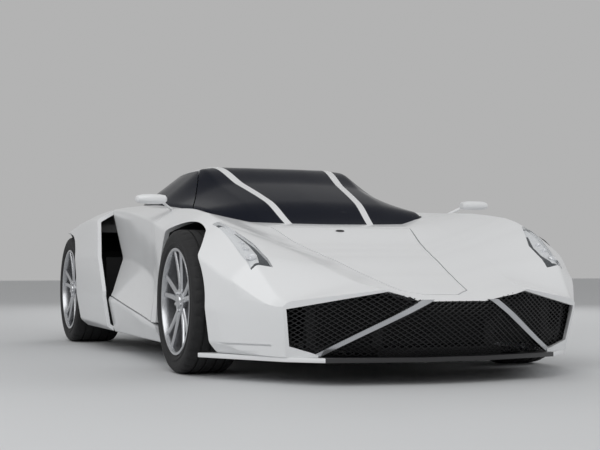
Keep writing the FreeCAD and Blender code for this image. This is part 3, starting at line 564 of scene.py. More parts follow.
PAINT = material("white_paint", (0.80, 0.81, 0.82), 0.38, coat=0.55, coat_rough=0.12, scale=900.0, vary=0.04)
TINTED_GLASS = material("tinted_glass", (0.006, 0.008, 0.016), 0.05, alpha=0.86, ior=1.28, scale=40.0,
                        vary=0.01, shine=0.14)
CARBON = material("dark_carbon", (0.018, 0.018, 0.02), 0.32, coat=0.6, coat_rough=0.08, bump=0.15,
                  scale=1400.0)
BLACK_PLASTIC = material("black_plastic", (0.022, 0.022, 0.024), 0.55, bump=0.3, scale=1800.0, vary=0.08)
MESH_BLACK = material("mesh_black", (0.012, 0.012, 0.013), 0.4, bump=0.2, scale=900.0)
LAMP_RED = material("lamp_red", (0.26, 0.008, 0.045), 0.12, coat=0.6, emission=(1.0, 0.05, 0.2),
                    strength=0.04)
COPPER = material("copper_panel", (0.16, 0.07, 0.033), 0.35, metal=0.3, coat=0.5, vary=0.08, scale=300.0)
SILVER = material("silver_bar", (0.62, 0.63, 0.65), 0.22, metal=1.0, vary=0.05, scale=500.0)
LAMP_INNER = material("lamp_inner", (0.86, 0.87, 0.89), 0.2, metal=0.35, coat=0.6)
LAMP_WHITE = material("lamp_white", (0.78, 0.79, 0.8), 0.3, coat=0.4)
LAMP_CLEAR = material("lamp_clear", (0.5, 0.55, 0.6), 0.03, alpha=0.07, shine=0.3)
ALLOY = material("alloy", (0.56, 0.57, 0.59), 0.26, metal=0.9, coat=0.4, vary=0.06, scale=700.0)
DISC_STEEL = material("disc_steel", (0.33, 0.33, 0.34), 0.32, metal=1.0, vary=0.1, scale=400.0)
RUBBER = material("tyre_rubber", (0.016, 0.016, 0.017), 0.72, bump=0.35, scale=1500.0, vary=0.1)
CAST = material("cast_metal", (0.06, 0.06, 0.065), 0.6, metal=0.5, bump=0.5, scale=700.0, vary=0.1)
ENGINE_ALLOY = material("engine_alloy", (0.18, 0.18, 0.19), 0.45, metal=0.8, bump=0.4, scale=500.0, vary=0.1)
LEATHER = material("black_leather", (0.02, 0.02, 0.022), 0.5, bump=0.6, scale=700.0, vary=0.1)
CHROME = material("exhaust_chrome", (0.6, 0.6, 0.62), 0.12, metal=1.0, vary=0.04, scale=300.0)
FINISHES = {
    "paint": PAINT, "glass": TINTED_GLASS, "carbon": CARBON, "black_plastic": BLACK_PLASTIC,
    "mesh_black": MESH_BLACK, "lamp_red": LAMP_RED, "copper": COPPER, "silver": SILVER,
    "lamp_inner": LAMP_INNER, "lamp_clear": LAMP_CLEAR, "alloy": ALLOY, "disc_steel": DISC_STEEL,
    "tyre": RUBBER, "cast": CAST, "engine_alloy": ENGINE_ALLOY, "leather": LEATHER, "exhaust_chrome": CHROME,
}
for entry in frame["record"]["subparts"]:
    for slot in nodes[entry["node"]].material_slots:
        slot.material = FINISHES[entry["material_slot"]]
print("finishes:", len(FINISHES))

# %% [markdown]
# ## Cut lines
# Doors, bonnet and engine cover are parted from the shell by cutting both with the same outline, grown by
# half a gap for the shell and shrunk by half a gap for the panel. The gap is then even all round, as on the
# real car.

# %% Outlines of the panels and openings
GAP = 7.0
WALL = 22.0
COARSE = 60.0   # the step between stations of walls that nobody sees
FAR, WIDE, HIGH, LOW = 2400, 1100, 1300, 60   # beyond the car's ends, sides, roof and sills
LIP = [(-330, 60), (-318, 360), (-585, 800), (-700, 1300), (-2400, 1300), (-2400, 60)]
AHEAD = [(-344, 60), (-332, 360), (-599, 800), (-650, 1300), (2400, 1300), (2400, 60)]
DOOR = [(738, 222), (690, 640), (640, 1000), (-640, 1000), (-570, 795), (-304, 360), (-303, 330)]
BONNET = [(940, 395), (1400, 290), (1980, 162), (2050, 80)]
COVER = [(-740, 436), (-1340, 385), (-1950, 318)]
DOOR_GLASS = [(470, 760), (470, 668), (-122, 455), (-430, 472), (-850, 462), (-590, 700), (-590, 760)]
ROOF = [(-128, 448), (-430, 464), (-736, 455), (-737, 430), (-765, 430)]
STRIP = [(900, 202), (900, 240), (-140, 376), (-140, 326)]
SCREEN = [(900, 640), (470, 668 - GAP / 2), (-128, 455 - GAP / 2)]
MOUTH = [(151, 352), (326, 396), (702, 322), (678, 165), (560, 128)]
TAIL_SIDE = [(575, 742), (160, 674), (588, 417), (800, 421)]
TAIL_MIDDLE = [(120, 660), (555, 395), (540, 262), (548, 60)]
REAR_ARCH = [(-1085, 60), (-1080, 450), (-1125, 600), (-1240, 698), (-1380, 728), (-1545, 722), (-1680, 643),
             (-1960, 431), (-1960, 60)]
ARCH_ENDS = [(-1925, 457.5), (-1925, 60)]   # where the rounded arch stops short of the tail's corner
CORNER_ARCH = [(-1600, 300), (-1680, 643), (-2400, 103), (-2400, 60)]
FACET = [(-2222, 565, 760), (-2006, 835, 405), (-1450, 985, 730)]
SILL = [(848, 60), (848, 205), (738, 218), (-303, 326), (-345, 326), (-345, 60)]
LAMP = [(1385, 836), (1398, 802), (1610, 712), (1805, 690), (1790, 785), (1700, 800)]
FRONT_AXLE = (1220, 337)
ARCH = 376.0


def facet_block(inset):
    """The solid beyond a rear corner's flat facet."""
    a, b, c = (Vector(p) for p in FACET)
    normal = (b - a).cross(c - a).normalized()
    if normal.y < 0:
        normal = -normal
    block = box(-1200, 1200, -1200, 1200, 0, 900)
    block.data.transform(shift(a - normal * inset) @ turn_from((0, 0, 1), normal))
    return block


def across(points):
    """An outline in (x, z) drawn right across the car."""
    return prism(points, "y", -WIDE, WIDE)


trim = carve(plan_block("trim"), pair(facet_block(0)))
trim_inner = carve(plan_block("trim_inner", WALL), pair(facet_block(WALL)))


def within(name, rows, block, inset=0.0, radius=14.0, step=30.0):
    """A skin cut to the plan's outline."""
    return overlap(skin(name, rows, inset, radius, step), block, keep_tool=True)


front_solid = overlap(within("front_solid", FRONT_ROWS, trim), across(AHEAD))
front_space = within("front_space", FRONT_ROWS, trim_inner, WALL, 6.0, COARSE)
rear_solid = overlap(within("rear_solid", REAR_ROWS, trim), across(LIP))
rear_space = within("rear_space", REAR_ROWS, trim_inner, WALL, 6.0, COARSE)
cabin_solid = within("cabin_solid", CABIN_ROWS, trim, radius=20.0)
cabin_space = within("cabin_space", CABIN_ROWS, trim_inner, WALL, 6.0, COARSE)
glass_space = within("glass_space", CABIN_ROWS, trim, 6.0, 20.0)
for solid in (front_solid, front_space, rear_solid, rear_space, cabin_solid, cabin_space, glass_space):
    sizes(solid)

# %% [markdown]
# ## Shut lines
# A door or lid turns out of its opening without touching it only if the face it shuts against is round about
# its hinge. The doors' leading edges lie on a cone, the engine cover's on a drum, both about their own axes.

# %% Tools that part the doors and lids
DOOR_AXIS = (832, 905)
DOOR_CONE = ((222, 111), (1002, 173))   # height and radius at its two ends
COVER_AXIS = (-660, 1015)
COVER_DRUM = 91
BONNET_AXIS = (860, 675)


def shut_cone(margin):
    """The cone about a door's axis on which its leading edge turns."""
    x, y = DOOR_AXIS[0] * MM, DOOR_AXIS[1] * MM
    rings = []
    for z, radius in DOOR_CONE:
        r = (radius + margin) * MM
        rings.append([(x + r * c, y + r * s, z * MM) for c, s in circle(96)])
    return closed_loft("cut", rings)


def shut_drum(margin):
    """The drum about the engine cover's axis on which its leading edge turns."""
    x, z = COVER_AXIS
    r = COVER_DRUM + margin
    turns = [math.radians(angle) for angle in range(100, 261, 8)]
    front = [(x + r * math.cos(turn), z + r * math.sin(turn)) for turn in turns]
    return prism([COVER_AXIS] + front, "y", -600, 600)


def lid_tool(outline, margin):
    """The upright tool that parts a lid from its shell."""
    return prism(grow(both_sides(outline), margin), "z", 300, HIGH)


def door_tool(margin):
    return prism(grow(DOOR, margin), "y", 560, WIDE)


def door_opening():
    return carve(door_tool(GAP / 2), [shut_cone(-GAP / 2)])


def cover_opening():
    return carve(lid_tool(COVER, GAP / 2), [shut_drum(-GAP / 2)])


def roof_tool():
    return prism(both_sides(ROOF), "z", 800, 1200)


def glass_tool(margin):
    return prism(grow(DOOR_GLASS, margin), "z", 700, 1200)


def corner_tool():
    return prism(CORNER_ARCH, "y", 858, WIDE)


EYE = 12       # the eye's outer radius
PIN = 6.3      # and its bore's


def hinge_arm(path, width, along, low, high, limit=None):
    """A pressed goose-neck arm with a round eye at its first point, kept within a limit if one is given."""
    arm = prism(band(path, width), along, low, high)
    if limit:
        overlap(arm, limit, keep_tool=True)
    carve(arm, [disc_along(along, path[0], EYE, low, high)], "UNION")
    return soften(carve(arm, [disc_along(along, path[0], PIN, low - 5, high + 5)]), 1.5)


def lid_arms(name, rows, path, reach, body):
    """A lid's two arms, kept a little inside its skin."""
    limit = skin("arm_limit", rows, 11.0, 6.0, COARSE)
    arms = [hinge_arm(path, 14, "y", y - 8, y + 8, limit) for y in (-reach, reach)]
    drop(limit)
    dress(joined(name, arms), CAST, body)


# %% [markdown]
# ## Front wings, bonnet and sills
# The nose is one shell with a wide mouth, two headlamp wells and the wheel arches cut out of it.

# %% Front panels
COWL = 655          # where the front shell ends under the windscreen
UNDERCUTS = [(500, 848, -WIDE, WIDE, LOW, 222), (500, 2060, -560, 560, LOW, 150),
             (2000, FAR, -524, 524, LOW, 128.5)]
SLIT = (1612, 1905, 600, WIDE, 162, 170)


def wheel_arch_front():
    x, z = FRONT_AXLE
    ring = [(x + ARCH * c, z + ARCH * s) for c, s in circle(96)[:49]]
    return prism([(x + ARCH, 0)] + ring + [(x - ARCH, 0)], "y", 745, 1165)


def lamp_tool(margin=0.0):
    return prism(grow(LAMP, margin) if margin else LAMP, "z", 400, 900)


front_shell = clear_of(copy_of(front_solid, "front_shell"), front_space)
front_body = overlap(copy_of(front_shell, "front_body_skin"), box(COWL, FAR, -WIDE, WIDE, LOW, HIGH))
clear_of(front_body, glass_space)
mouth = prism(mirrored(MOUTH), "x", 1780, FAR)
floor_cut = box(FRONT_AXLE[0] - ARCH, FRONT_AXLE[0] + ARCH, 480, 1165, 0, 145)
tools = [lid_tool(BONNET, GAP / 2), mouth]
for tool in (door_opening(), wheel_arch_front(), floor_cut):
    tools += pair(tool)
carve(front_body, tools)
carve(front_body, [box(*reach) for reach in UNDERCUTS])
slit = overlap(carve(plan_block("slit", -4.0), [plan_block("slit_inside", 9.0)]), box(*SLIT))
carve(front_body, pair(slit) + pair(lamp_tool()))
dress(keep_large(front_body), PAINT, "body", ["front_body"])
line_inside(front_body, front_solid, BLACK_PLASTIC)

bonnet = overlap(copy_of(front_shell, "bonnet_skin"), lid_tool(BONNET, -GAP / 2))
dress(keep_large(bonnet), PAINT, "bonnet", ["bonnet"])
line_inside(bonnet, front_solid, BLACK_PLASTIC)
lid_arms("bonnet_arms", FRONT_ROWS, [BONNET_AXIS, (906, 606), (936, 598), (985, 694)], 300, "bonnet")

sills = clear_of(overlap(copy_of(front_solid, "sill_skins"), across(SILL)), rear_solid)
carve(sills, [box(-400, 900, -700, 700, 0, 500)])
dress(keep_large(sills), PAINT, "body", ["sills"])

# %% [markdown]
# ## Doors
# Each door is as thick as the real one. Its outer face sinks in towards the rear, which makes room for the
# intake, and its top ends under the side window.

# %% Doors and their glass
DOOR_BACK = 5       # the first station of the doors' inner wall
INTAKE_STEP = (-700, -562, 560, 765, 600, 861)
GLASS_END = (-1000, -585, 600, 800, 600, 866)

door_space = skin("door_space", FRONT_ROWS[DOOR_BACK:], 70.0, 6.0, COARSE)
screen_clear = overlap(skin("screen_clear", CABIN_ROWS, -GAP, 20.0), box(466, 1000, 0, WIDE, 400, HIGH))
door_left = overlap(copy_of(front_solid, "door_skin_left"), door_tool(-GAP / 2))
clear_of(door_left, door_space, glass_space, screen_clear)
carve(door_left, [shut_cone(GAP / 2), box(*INTAKE_STEP)])
door_right = twin(keep_large(door_left), "door_skin_right")
arms = [hinge_arm([DOOR_AXIS, (773, 742), (640, 882)], 16, "z", z, z + 20) for z in (440, 600)]
arms_left = joined("door_arms_left", arms)
arms_right = twin(arms_left, "door_arms_right")
for side, door, hinges in (("left", door_left, arms_left), ("right", door_right, arms_right)):
    dress(door, PAINT, "door_" + side, ["door_" + side])
    line_inside(door, front_solid, LEATHER, 30.0)
    dress(hinges, CAST, "door_" + side)

glass_shell = clear_of(copy_of(cabin_solid, "glass_shell"), glass_space)
side_glass = overlap(copy_of(glass_shell, "side_glass_left"), glass_tool(-GAP / 2))
carve(clear_of(side_glass, front_solid), [box(*GLASS_END)])
other = twin(keep_large(side_glass, 20), "side_glass_right")
dress(side_glass, TINTED_GLASS, "door_left", ["glass_left"])
dress(other, TINTED_GLASS, "door_right", ["glass_right"])

# %% [markdown]
# ## Roof and windscreen
# Two white strips run down through the wrap-around glass from the roof to the cowl, so the roof is cut with
# them in one piece from the cabin's wall.

# %% Roof and windscreen
def strip_tool():
    return prism(STRIP, "z", 600, 1200)


cabin_shell = clear_of(copy_of(cabin_solid, "cabin_shell"), cabin_space)
roof = overlap(copy_of(cabin_shell, "roof_skin"), roof_tool())
strip = clear_of(overlap(copy_of(cabin_shell, "strip"), strip_tool()), front_solid)
screen = overlap(copy_of(glass_shell, "windscreen_glass"), prism(both_sides(SCREEN), "z", 600, 1200))
carve(screen, pair(strip_tool()))
clear_of(screen, front_solid)
dress(keep_large(screen, 20), TINTED_GLASS, "body", ["windscreen"])
carve(roof, [cover_opening()])
carve(roof, pair(strip), "UNION")
dress(keep_large(roof), PAINT, "body", ["roof"])
line_inside(roof, cabin_solid, BLACK_PLASTIC)

# %% [markdown]
# ## Rear wings and tail
# The rear wings stand proud of the doors, and their leading edge is the lip of the side intake. The cabin's
# twin ridges run down between them to the tail.

# %% Rear body and engine cover
TAIL_FLOOR = [(-FAR, -1780, -WIDE, WIDE, 0, 270), (-FAR, -240, -915, 915, 0, 145)]
cabin_rear = clear_of(overlap(copy_of(cabin_shell, "cabin_rear"), across(LIP)), rear_space)
rear_body = clear_of(copy_of(rear_solid, "rear_body_skin"), rear_space, cabin_space)
carve(rear_body, [cabin_rear], "UNION")
eased = rounded(REAR_ARCH, 70.0, 6, 1)[7:49]
tools = [cover_opening(), roof_tool(), prism(mirrored(TAIL_MIDDLE), "x", -2300, -1830)]
for tool in (prism(REAR_ARCH[:1] + eased + ARCH_ENDS, "y", 640, WIDE), corner_tool(), glass_tool(GAP / 2),
             prism(TAIL_SIDE, "x", -2300, -1850), door_opening(), box(-2300, -2190, LOW, 270, 734, 748)):
    tools += pair(tool)
carve(rear_body, tools + [box(*reach) for reach in TAIL_FLOOR])
dress(keep_large(rear_body), PAINT, "body", ["rear_body"])
rear_outside = carve(copy_of(rear_solid, "rear_outside"), [cabin_solid], "UNION", keep_tools=True)
carve(rear_outside, pair(corner_tool()))
line_inside(rear_body, rear_outside, BLACK_PLASTIC)
drop(rear_outside)

cover = clear_of(overlap(copy_of(cabin_shell, "engine_cover_skin"), lid_tool(COVER, -GAP / 2)), rear_space)
carve(cover, [shut_drum(GAP / 2)])
dress(keep_large(cover), PAINT, "engine_cover", ["engine_cover"])
line_inside(cover, cabin_solid, BLACK_PLASTIC)
lid_arms("engine_cover_arms", CABIN_ROWS, [COVER_AXIS, (-740, 947), (-792, 1042)], 280, "engine_cover")

# %% [markdown]
# ## Headlamps
# Each lamp is a white body on top of the wing. Its rear tip, its inner edge and its front end are dark. Three
# round bowls sit in it, the largest foremost, and a clear cover closes it flush with the wing.

# %% Lamp covers, bodies, dark edges and bowls
COVER_THICK = 4.0
BED_DEEP = 13.0
DARK_EDGE = [(1500, 762), (1612, 715), (1806, 680), (1806, 800), (1772, 800), (1768, 742), (1700, 728),
             (1612, 735), (1508, 770)]
DARK_TIP = (1300, 1428, 600, 900, 400, 900)
BOWLS = [(1738, 768, 23), (1664, 765, 15), (1610, 764, 11)]   # x, y and radius

lamp_cover = carve(copy_of(front_solid, "lamp_cover"), [skin("cover_inside", FRONT_ROWS, COVER_THICK)])
overlap(lamp_cover, lamp_tool())
bed = clear_of(skin("bed", FRONT_ROWS, BED_DEEP), front_space)
overlap(bed, lamp_tool(-0.4))
dark_zones = [prism(DARK_EDGE, "z", 400, 900), box(*DARK_TIP)]
dark_zone = carve(copy_of(dark_zones[0], "zone"), [dark_zones[1]], "UNION", keep_tools=True)
pocket = overlap(copy_of(bed, "lamp_pocket"), dark_zone)
strip_bed = carve(bed, dark_zones)
strip_bed.name = "lamp_strip"
wing = BVHTree.FromObject(front_solid, bpy.context.evaluated_depsgraph_get())


def on_wing(x, y):
    """The point and the normal of the front's outside at a place seen from above."""
    return wing.ray_cast(Vector((x * MM, y * MM, 1.2)), Vector((0, 0, -1)))[:2]


def bowl(x, y, radius):
    """A shallow bowl with a rounded rim and a bulb's dome in it, seated on the lamp's bed."""
    profile = [(-2, 0), (-2, radius * 0.95), (3, radius), (6, radius * 0.93), (3, radius * 0.62),
               (1, radius * 0.36), (4, radius * 0.3), (6, radius * 0.12), (6.3, 0)]
    piece = turned("bowl", profile, 32)
    place, normal = on_wing(x, y)
    piece.data.transform(Matrix.Translation(place - normal * 11.0 * MM) @ turn_from((0, 1, 0), normal))
    return piece


bowls = joined("lamp_reflectors", [bowl(*place) for place in BOWLS])
for piece, finish, slot, stands_for in (
        (lamp_cover, LAMP_CLEAR, "lamp_clear", ["headlamp_lenses"]),
        (strip_bed, LAMP_WHITE, "lamp_inner", []),
        (pocket, MESH_BLACK, "black_plastic", ["headlamp_inserts"]),
        (bowls, LAMP_INNER, "lamp_inner", [])):
    other = twin(piece, piece.name + "_right")
    piece.name = piece.name + "_left"
    dress(piece, finish, "body", stands_for)
    dress(other, finish, "body")

# %% [markdown]
# ## Tyres
# A low tyre is moulded: the sidewall bulges past the rim, a rib guards the rim's edge, and the tread is flat
# with rounded shoulders. Four grooves run round it and short ones lead out over the shoulders, to drain
# water.

# %% Tyres
FACE = 975.0    # how far out the tyres' outer walls lie
WHEELS = {
    "front_left": (1220, 337, 1, 254, 730), "front_right": (1220, 337, -1, 254, 730),
    "rear_left": (-1460, 350, 1, 267, 670), "rear_right": (-1460, 350, -1, 267, 670),
}   # x, z and side of the hub, the rim's radius, and how far in the tyre reaches
GROOVE = 7


def hang(obj, wheel):
    """Put a piece made about the hub, facing +Y, on its wheel."""
    x, z, side = WHEELS[wheel][:3]
    obj.data.transform(at(x, 0, z) @ Matrix.Rotation(0.0 if side > 0 else math.pi, 4, "Z"))
    return obj


def tyre_profile(radius, rim, inside):
    """Bead, sidewall, shoulder and grooved tread as (y, radius), inner side first."""
    half = [(12, rim), (7, rim + 6), (3, rim + 14), (1, rim + 17), (1, rim + 22), (4, rim + 25),
            (3, rim + 34), (0.6, rim + 48), (1.5, radius - 26), (6, radius - 14), (14, radius - 6),
            (26, radius - 2), (40, radius - 0.3)]
    crown = []
    for share in (-0.27, -0.10, 0.10, 0.27):
        y = (inside + FACE) / 2.0 + share * (FACE - inside)
        crown += [(y + d, radius - deep) for d, deep in ((-5, 0.3), (-4, GROOVE), (4, GROOVE), (5, 0.3))]
    return [(inside + d, r) for d, r in half] + crown + [(FACE - d, r) for d, r in half[::-1]]


def notch_shoulders(tyre, radius, inside, steps):
    """Press the short grooves in, at every fifth step round the tyre."""
    for vertex in tyre.data.vertices:
        y, r = vertex.co.y / MM, math.hypot(vertex.co.x, vertex.co.z) / MM
        turn = int(round(math.atan2(vertex.co.x, vertex.co.z) / (2 * math.pi) * steps)) % 5
        edge = min(y - inside, FACE - y)
        if turn == 0 and 12 < edge < 42 and r > radius - 12:
            vertex.co.x *= 1.0 - 5.0 / r
            vertex.co.z *= 1.0 - 5.0 / r


for wheel, (x, z, side, rim, inside) in WHEELS.items():
    steps = 180
    tyre = turned("tyre_" + wheel + "_rubber", tyre_profile(z, rim, inside), steps)
    notch_shoulders(tyre, z, inside, steps)
    dress(hang(tyre, wheel), RUBBER, "wheel_" + wheel, ["tyre_" + wheel], 26.0)

# %% [markdown]
# ## Rims
# A cast rim is a barrel with a lip and a drop in the middle. Five spokes leave the hub, and each parts into
# two arms with a window between them. The spokes dish inwards towards the hub, and the wheel bolts sit round
# its cap.

# %% Rims with parted spokes
def arm_of_spoke(rim, lean):
    """One arm of a parted spoke, from hub to lip: wide and deep at the hub, slim at the lip."""
    rings = []
    for k in range(9):
        t = k / 8.0
        radius = 38 + (rim - 15 - 38) * t
        middle = lean * (9 + 39 * t ** 1.25)
        half = 15.5 - 4.5 * t
        face = FACE - 31 + 17 * t * t
        depth = 30 - 8 * t
        across_arm = [(-half, face - 7), (-half + 3.5, face - 1.5), (-half + 7, face), (half - 7, face),
                      (half - 3.5, face - 1.5), (half, face - 7), (half - 3, face - depth),
                      (-half + 3, face - depth)]
        rings.append([((middle + a) * MM, y * MM, radius * MM) for a, y in across_arm])
    return closed_loft("arm", rings)


def bolt(radius, angle, y):
    """A wheel bolt's six-sided head with a rounded top."""
    rings = []
    for r, height in ((8.5, 0), (8.5, 8), (7.6, 10), (5.0, 10.6)):
        rings.append([(r * c * MM, (y + height) * MM, r * s * MM) for c, s in circle(6)])
    head = closed_loft("bolt", rings)
    head.data.transform(at(radius * math.sin(angle), 0, radius * math.cos(angle)))
    return head


def rim_profile(rim, inside):
    """The barrel as (y, radius): its outer side from the inner lip to the outer, and back along the bore."""
    out = [(8, 0.3), (40, 1), (55, 6)]
    back = [(-70, 6), (-40, 1), (-12, 0.3), (-7, 3), (-5.5, 9), (-7, 15), (-14, 18), (-40, 20)]
    return ([(inside + d, rim - r) for d, r in out] + [(FACE + d, rim - r) for d, r in back]
            + [(inside + 60, rim - 24), (inside + 10, rim - 18)])


HUB = [(-62, 31), (-62, 58), (-40, 62), (-29, 60), (-26, 54), (-26, 34), (-19, 31), (-16, 24), (-15, 0),
       (-33, 0), (-33, 31)]


def from_face(profile):
    """A profile of (distance from the tyre's outer wall, radius) at its place."""
    return [(FACE + d, r) for d, r in profile]


for wheel, (x, z, side, rim, inside) in WHEELS.items():
    parts = [turned("barrel", rim_profile(rim, inside), 96), turned("hub", from_face(HUB), 48)]
    for k in range(5):
        for lean in (-1, 1):
            arm = arm_of_spoke(rim, lean)
            arm.data.transform(Matrix.Rotation(2 * math.pi * k / 5, 4, "Y"))
            parts.append(arm)
        parts.append(bolt(44, 2 * math.pi * (k + 0.5) / 5, FACE - 29))
    whole = joined("rim_" + wheel + "_alloy", parts)
    dress(hang(whole, wheel), ALLOY, "wheel_" + wheel, ["rim_" + wheel], 30.0)

# %% [markdown]
# ## Brake discs
# A brake disc is two plates with air between them, drilled through, and bolted to a bell over the hub.

# %% Vented discs
PLATES = [(-150, 92), (-150, 188), (-149, 190), (-140, 190), (-140, 184), (-132, 184), (-132, 190),
          (-123, 190), (-122, 188), (-122, 92)]
BELL = [(-150, 31), (-150, 94), (-124, 94), (-120, 72), (-66, 70), (-62.1, 66), (-62.1, 31)]


def disc_piece(name):
    plates = turned(name, from_face(PLATES), 96)
    holes = []
    for ring, radius in enumerate((112, 134, 156, 176)):
        for k in range(24):
            angle = 2 * math.pi * (k + 0.25 * ring) / 24
            centre = (radius * math.sin(angle), radius * math.cos(angle))
            holes.append(disc_along("y", centre, 3.6, FACE - 160, FACE - 110, 8))
    carve(plates, [joined("holes", holes)])
    return joined(name, [plates, turned("bell", from_face(BELL), 48)])


for wheel in WHEELS:
    disc = hang(disc_piece("disc_" + wheel + "_steel"), wheel)
    dress(disc, DISC_STEEL, "wheel_" + wheel, ["disc_" + wheel], 30.0)

# %% [markdown]
# ## Brake calipers
# A caliper reaches over the disc's edge like a clamp and holds its pads. The front ones ride on the
# knuckles, so they steer with the wheels but don't spin, and the rear ones stay on the body.

# %% Brake calipers
def sector(inner, outer, middle, half):
    """A slice of a ring as (x, z), about an angle in degrees from +X."""
    turns = [math.radians(middle - half + 2 * half * k / 16) for k in range(17)]
    return ([(outer * math.cos(a), outer * math.sin(a)) for a in turns]
            + [(inner * math.cos(a), inner * math.sin(a)) for a in turns[::-1]])


def caliper(wheel, middle):
    """A clamp with a slot for the disc and a window over the pads."""
    x, z = WHEELS[wheel][:2]
    clamp = soften(prism(sector(146, 211, middle, 27), "y", FACE - 172, FACE - 98), 5.0, 3)
    slot = prism(sector(100, 194, middle, 40), "y", FACE - 154, FACE - 118)
    window = prism(sector(172, 260, middle, 9), "y", FACE - 146, FACE - 126)
    carve(clamp, [slot, window])
    clamp.data.transform(at(x, 0, z))
    return clamp


CARRIERS = (("front", 172, ("steering_left", "steering_right")), ("rear", 8, ("body", "body")))
for end, middle, bodies in CARRIERS:
    clamp = caliper(end + "_left", middle)
    for side, body, piece in zip(("left", "right"), bodies, (clamp, twin(clamp, "clamp"))):
        piece.name = "caliper_" + end + "_" + side
        dress(piece, CAST, body)

# %% [markdown]
# ## Lower lip
# The lip is one thin blade. Outside the two struts it is painted like the bumper, and between them it is
# bare carbon, which is why the mouth seems to reach the road.

# %% Painted and bare lip
LIP_EDGE = [(1540, 950), (1955, 684), (2070, 550), (2165, 150)]
LIP_BACK = [(1540, -700), (1760, -700), (1760, 700), (1540, 700)]
BARE = (1500, 2300, -552, 552, LOW, 200)
blade = prism(both_sides(LIP_EDGE) + LIP_BACK, "z", 97.9, 117.9)
middle = overlap(copy_of(blade, "lip_middle"), box(*BARE))
outer = carve(blade, [box(*BARE)])
outer.name = "lip_ends"
dress(soften(middle, 3.0), CARBON, "body", ["splitter"])
dress(soften(outer, 3.0), PAINT, "body")

# %% [markdown]
# ## Mirrors
# A mirror on such a car is a small pod on a thin stalk. Its front is rounded to part the air, its back is
# cut flat and holds the glass.

# %% Mirror pods and glasses
POD = [(862, 24, 12), (872, 40, 21), (900, 50, 25), (950, 52, 26), (990, 46, 24), (1014, 34, 18),
       (1022, 18, 9)]
POD_X, POD_Z = 655, 848
POD_BACK = -44
STALK = [((578, 800, 792), 15, 9), ((598, 835, 812), 13, 8), ((622, 868, 832), 13, 8),
         ((640, 896, 844), 15, 10)]


def mirror_pod():
    """Rounded sections from the stalk to the tip, each cut flat at the back."""
    rings = []
    for y, long, tall in POD:
        ring = [(max(long * fuller(c, 0.8), POD_BACK), tall * fuller(s, 0.75)) for c, s in circle(24)]
        rings.append([((POD_X + dx) * MM, y * MM, (POD_Z + dz) * MM) for dx, dz in ring])
    return closed_loft("mirror_pod", rings)


def mirror_stalk():
    """Ovals along the stalk's line, from the door to the pod."""
    return closed_loft("stalk", [[((x + long * c) * MM, y * MM, (z + tall * s) * MM) for c, s in circle(16)]
                                 for (x, y, z), long, tall in STALK])


def mirror_pane():
    """A thin squarish oval of glass, just behind the pod's flat back."""
    rings = []
    for x, shrink in ((613, 1.0), (610.5, 0.97)):
        rings.append([(x * MM, (943 + 62 * shrink * fuller(c, 0.6)) * MM,
                       (POD_Z + 17 * shrink * fuller(s, 0.7)) * MM) for c, s in circle(24)])
    return closed_loft("mirror_pane_left", rings)


pod = carve(mirror_pod(), [mirror_stalk()], "UNION")
pane = mirror_pane()
for side, piece in (("left", pod), ("right", twin(pod, "mirror_pod_right"))):
    piece.name = "mirror_pod_" + side
    dress(piece, PAINT, "door_" + side, ["mirror_" + side])
for side, piece in (("right", twin(pane, "mirror_pane_right")), ("left", pane)):
    dress(piece, LAMP_INNER, "door_" + side)

# %% [markdown]
# ## Grilles
# The mouth and the tail's frames are filled by a black mesh of thin bars in diamonds. Each bar is drawn flat
# in the opening's outline, then every point is set back to the leaning surface just behind the opening.

# %% Mesh of the mouth and the tail
MESH_BACK = WALL + 1.0   # how far the mesh lies behind the outside
BAR_DEEP = 6.0
BAR_PART = 45.0          # bars are divided so finely that they follow the surface
BAR_SLOPE = math.radians(32.0)


seen_outlines = {}   # by height, to a tenth of a millimetre


def outline_at(z):
    """Half of the plan outline at the meshes' depth, nose to tail, at a height."""
    rows = [plan_outline(row, MESH_BACK) for row in PLAN_ROWS]
    for low, high, one, two in zip(PLAN_ROWS, PLAN_ROWS[1:], rows, rows[1:]):
        if low[0] <= z <= high[0]:
            t = (z - low[0]) / (high[0] - low[0])
            return [(x, -y) for x, y in (between(a, b, t) for a, b in zip(one[:len(low) - 1], two))]
    raise ValueError(z)


def surface_x(y, z, tail):
    """How far forward the leaning outline lies at a point of the nose or the tail."""
    key = round(z, 1)
    if key not in seen_outlines:
        seen_outlines[key] = outline_at(z)
    line = seen_outlines[key][::-1][:4] if tail else seen_outlines[key][:5]
    y = abs(y)
    for (x0, y0), (x1, y1) in zip(line, line[1:]):
        if y <= y1 or (x1, y1) == line[-1]:
            t = (y - y0) / (y1 - y0) if abs(y1 - y0) > 1e-6 else 0.0
            return x0 + (x1 - x0) * max(t, 0.0)


def crossings(outline, origin, along):
    """The stretches of a line that lie inside an outline."""
    hits = []
    for a, b in zip(map(Vector, outline), map(Vector, outline[1:] + outline[:1])):
        edge = b - a
        under = along.x * edge.y - along.y * edge.x
        if abs(under) < 1e-9:
            continue
        gap = a - origin
        u = (gap.x * along.y - gap.y * along.x) / under
        if 0.0 <= u < 1.0:
            hits.append((gap.x * edge.y - gap.y * edge.x) / under)
    hits.sort()
    return list(zip(hits[::2], hits[1::2]))


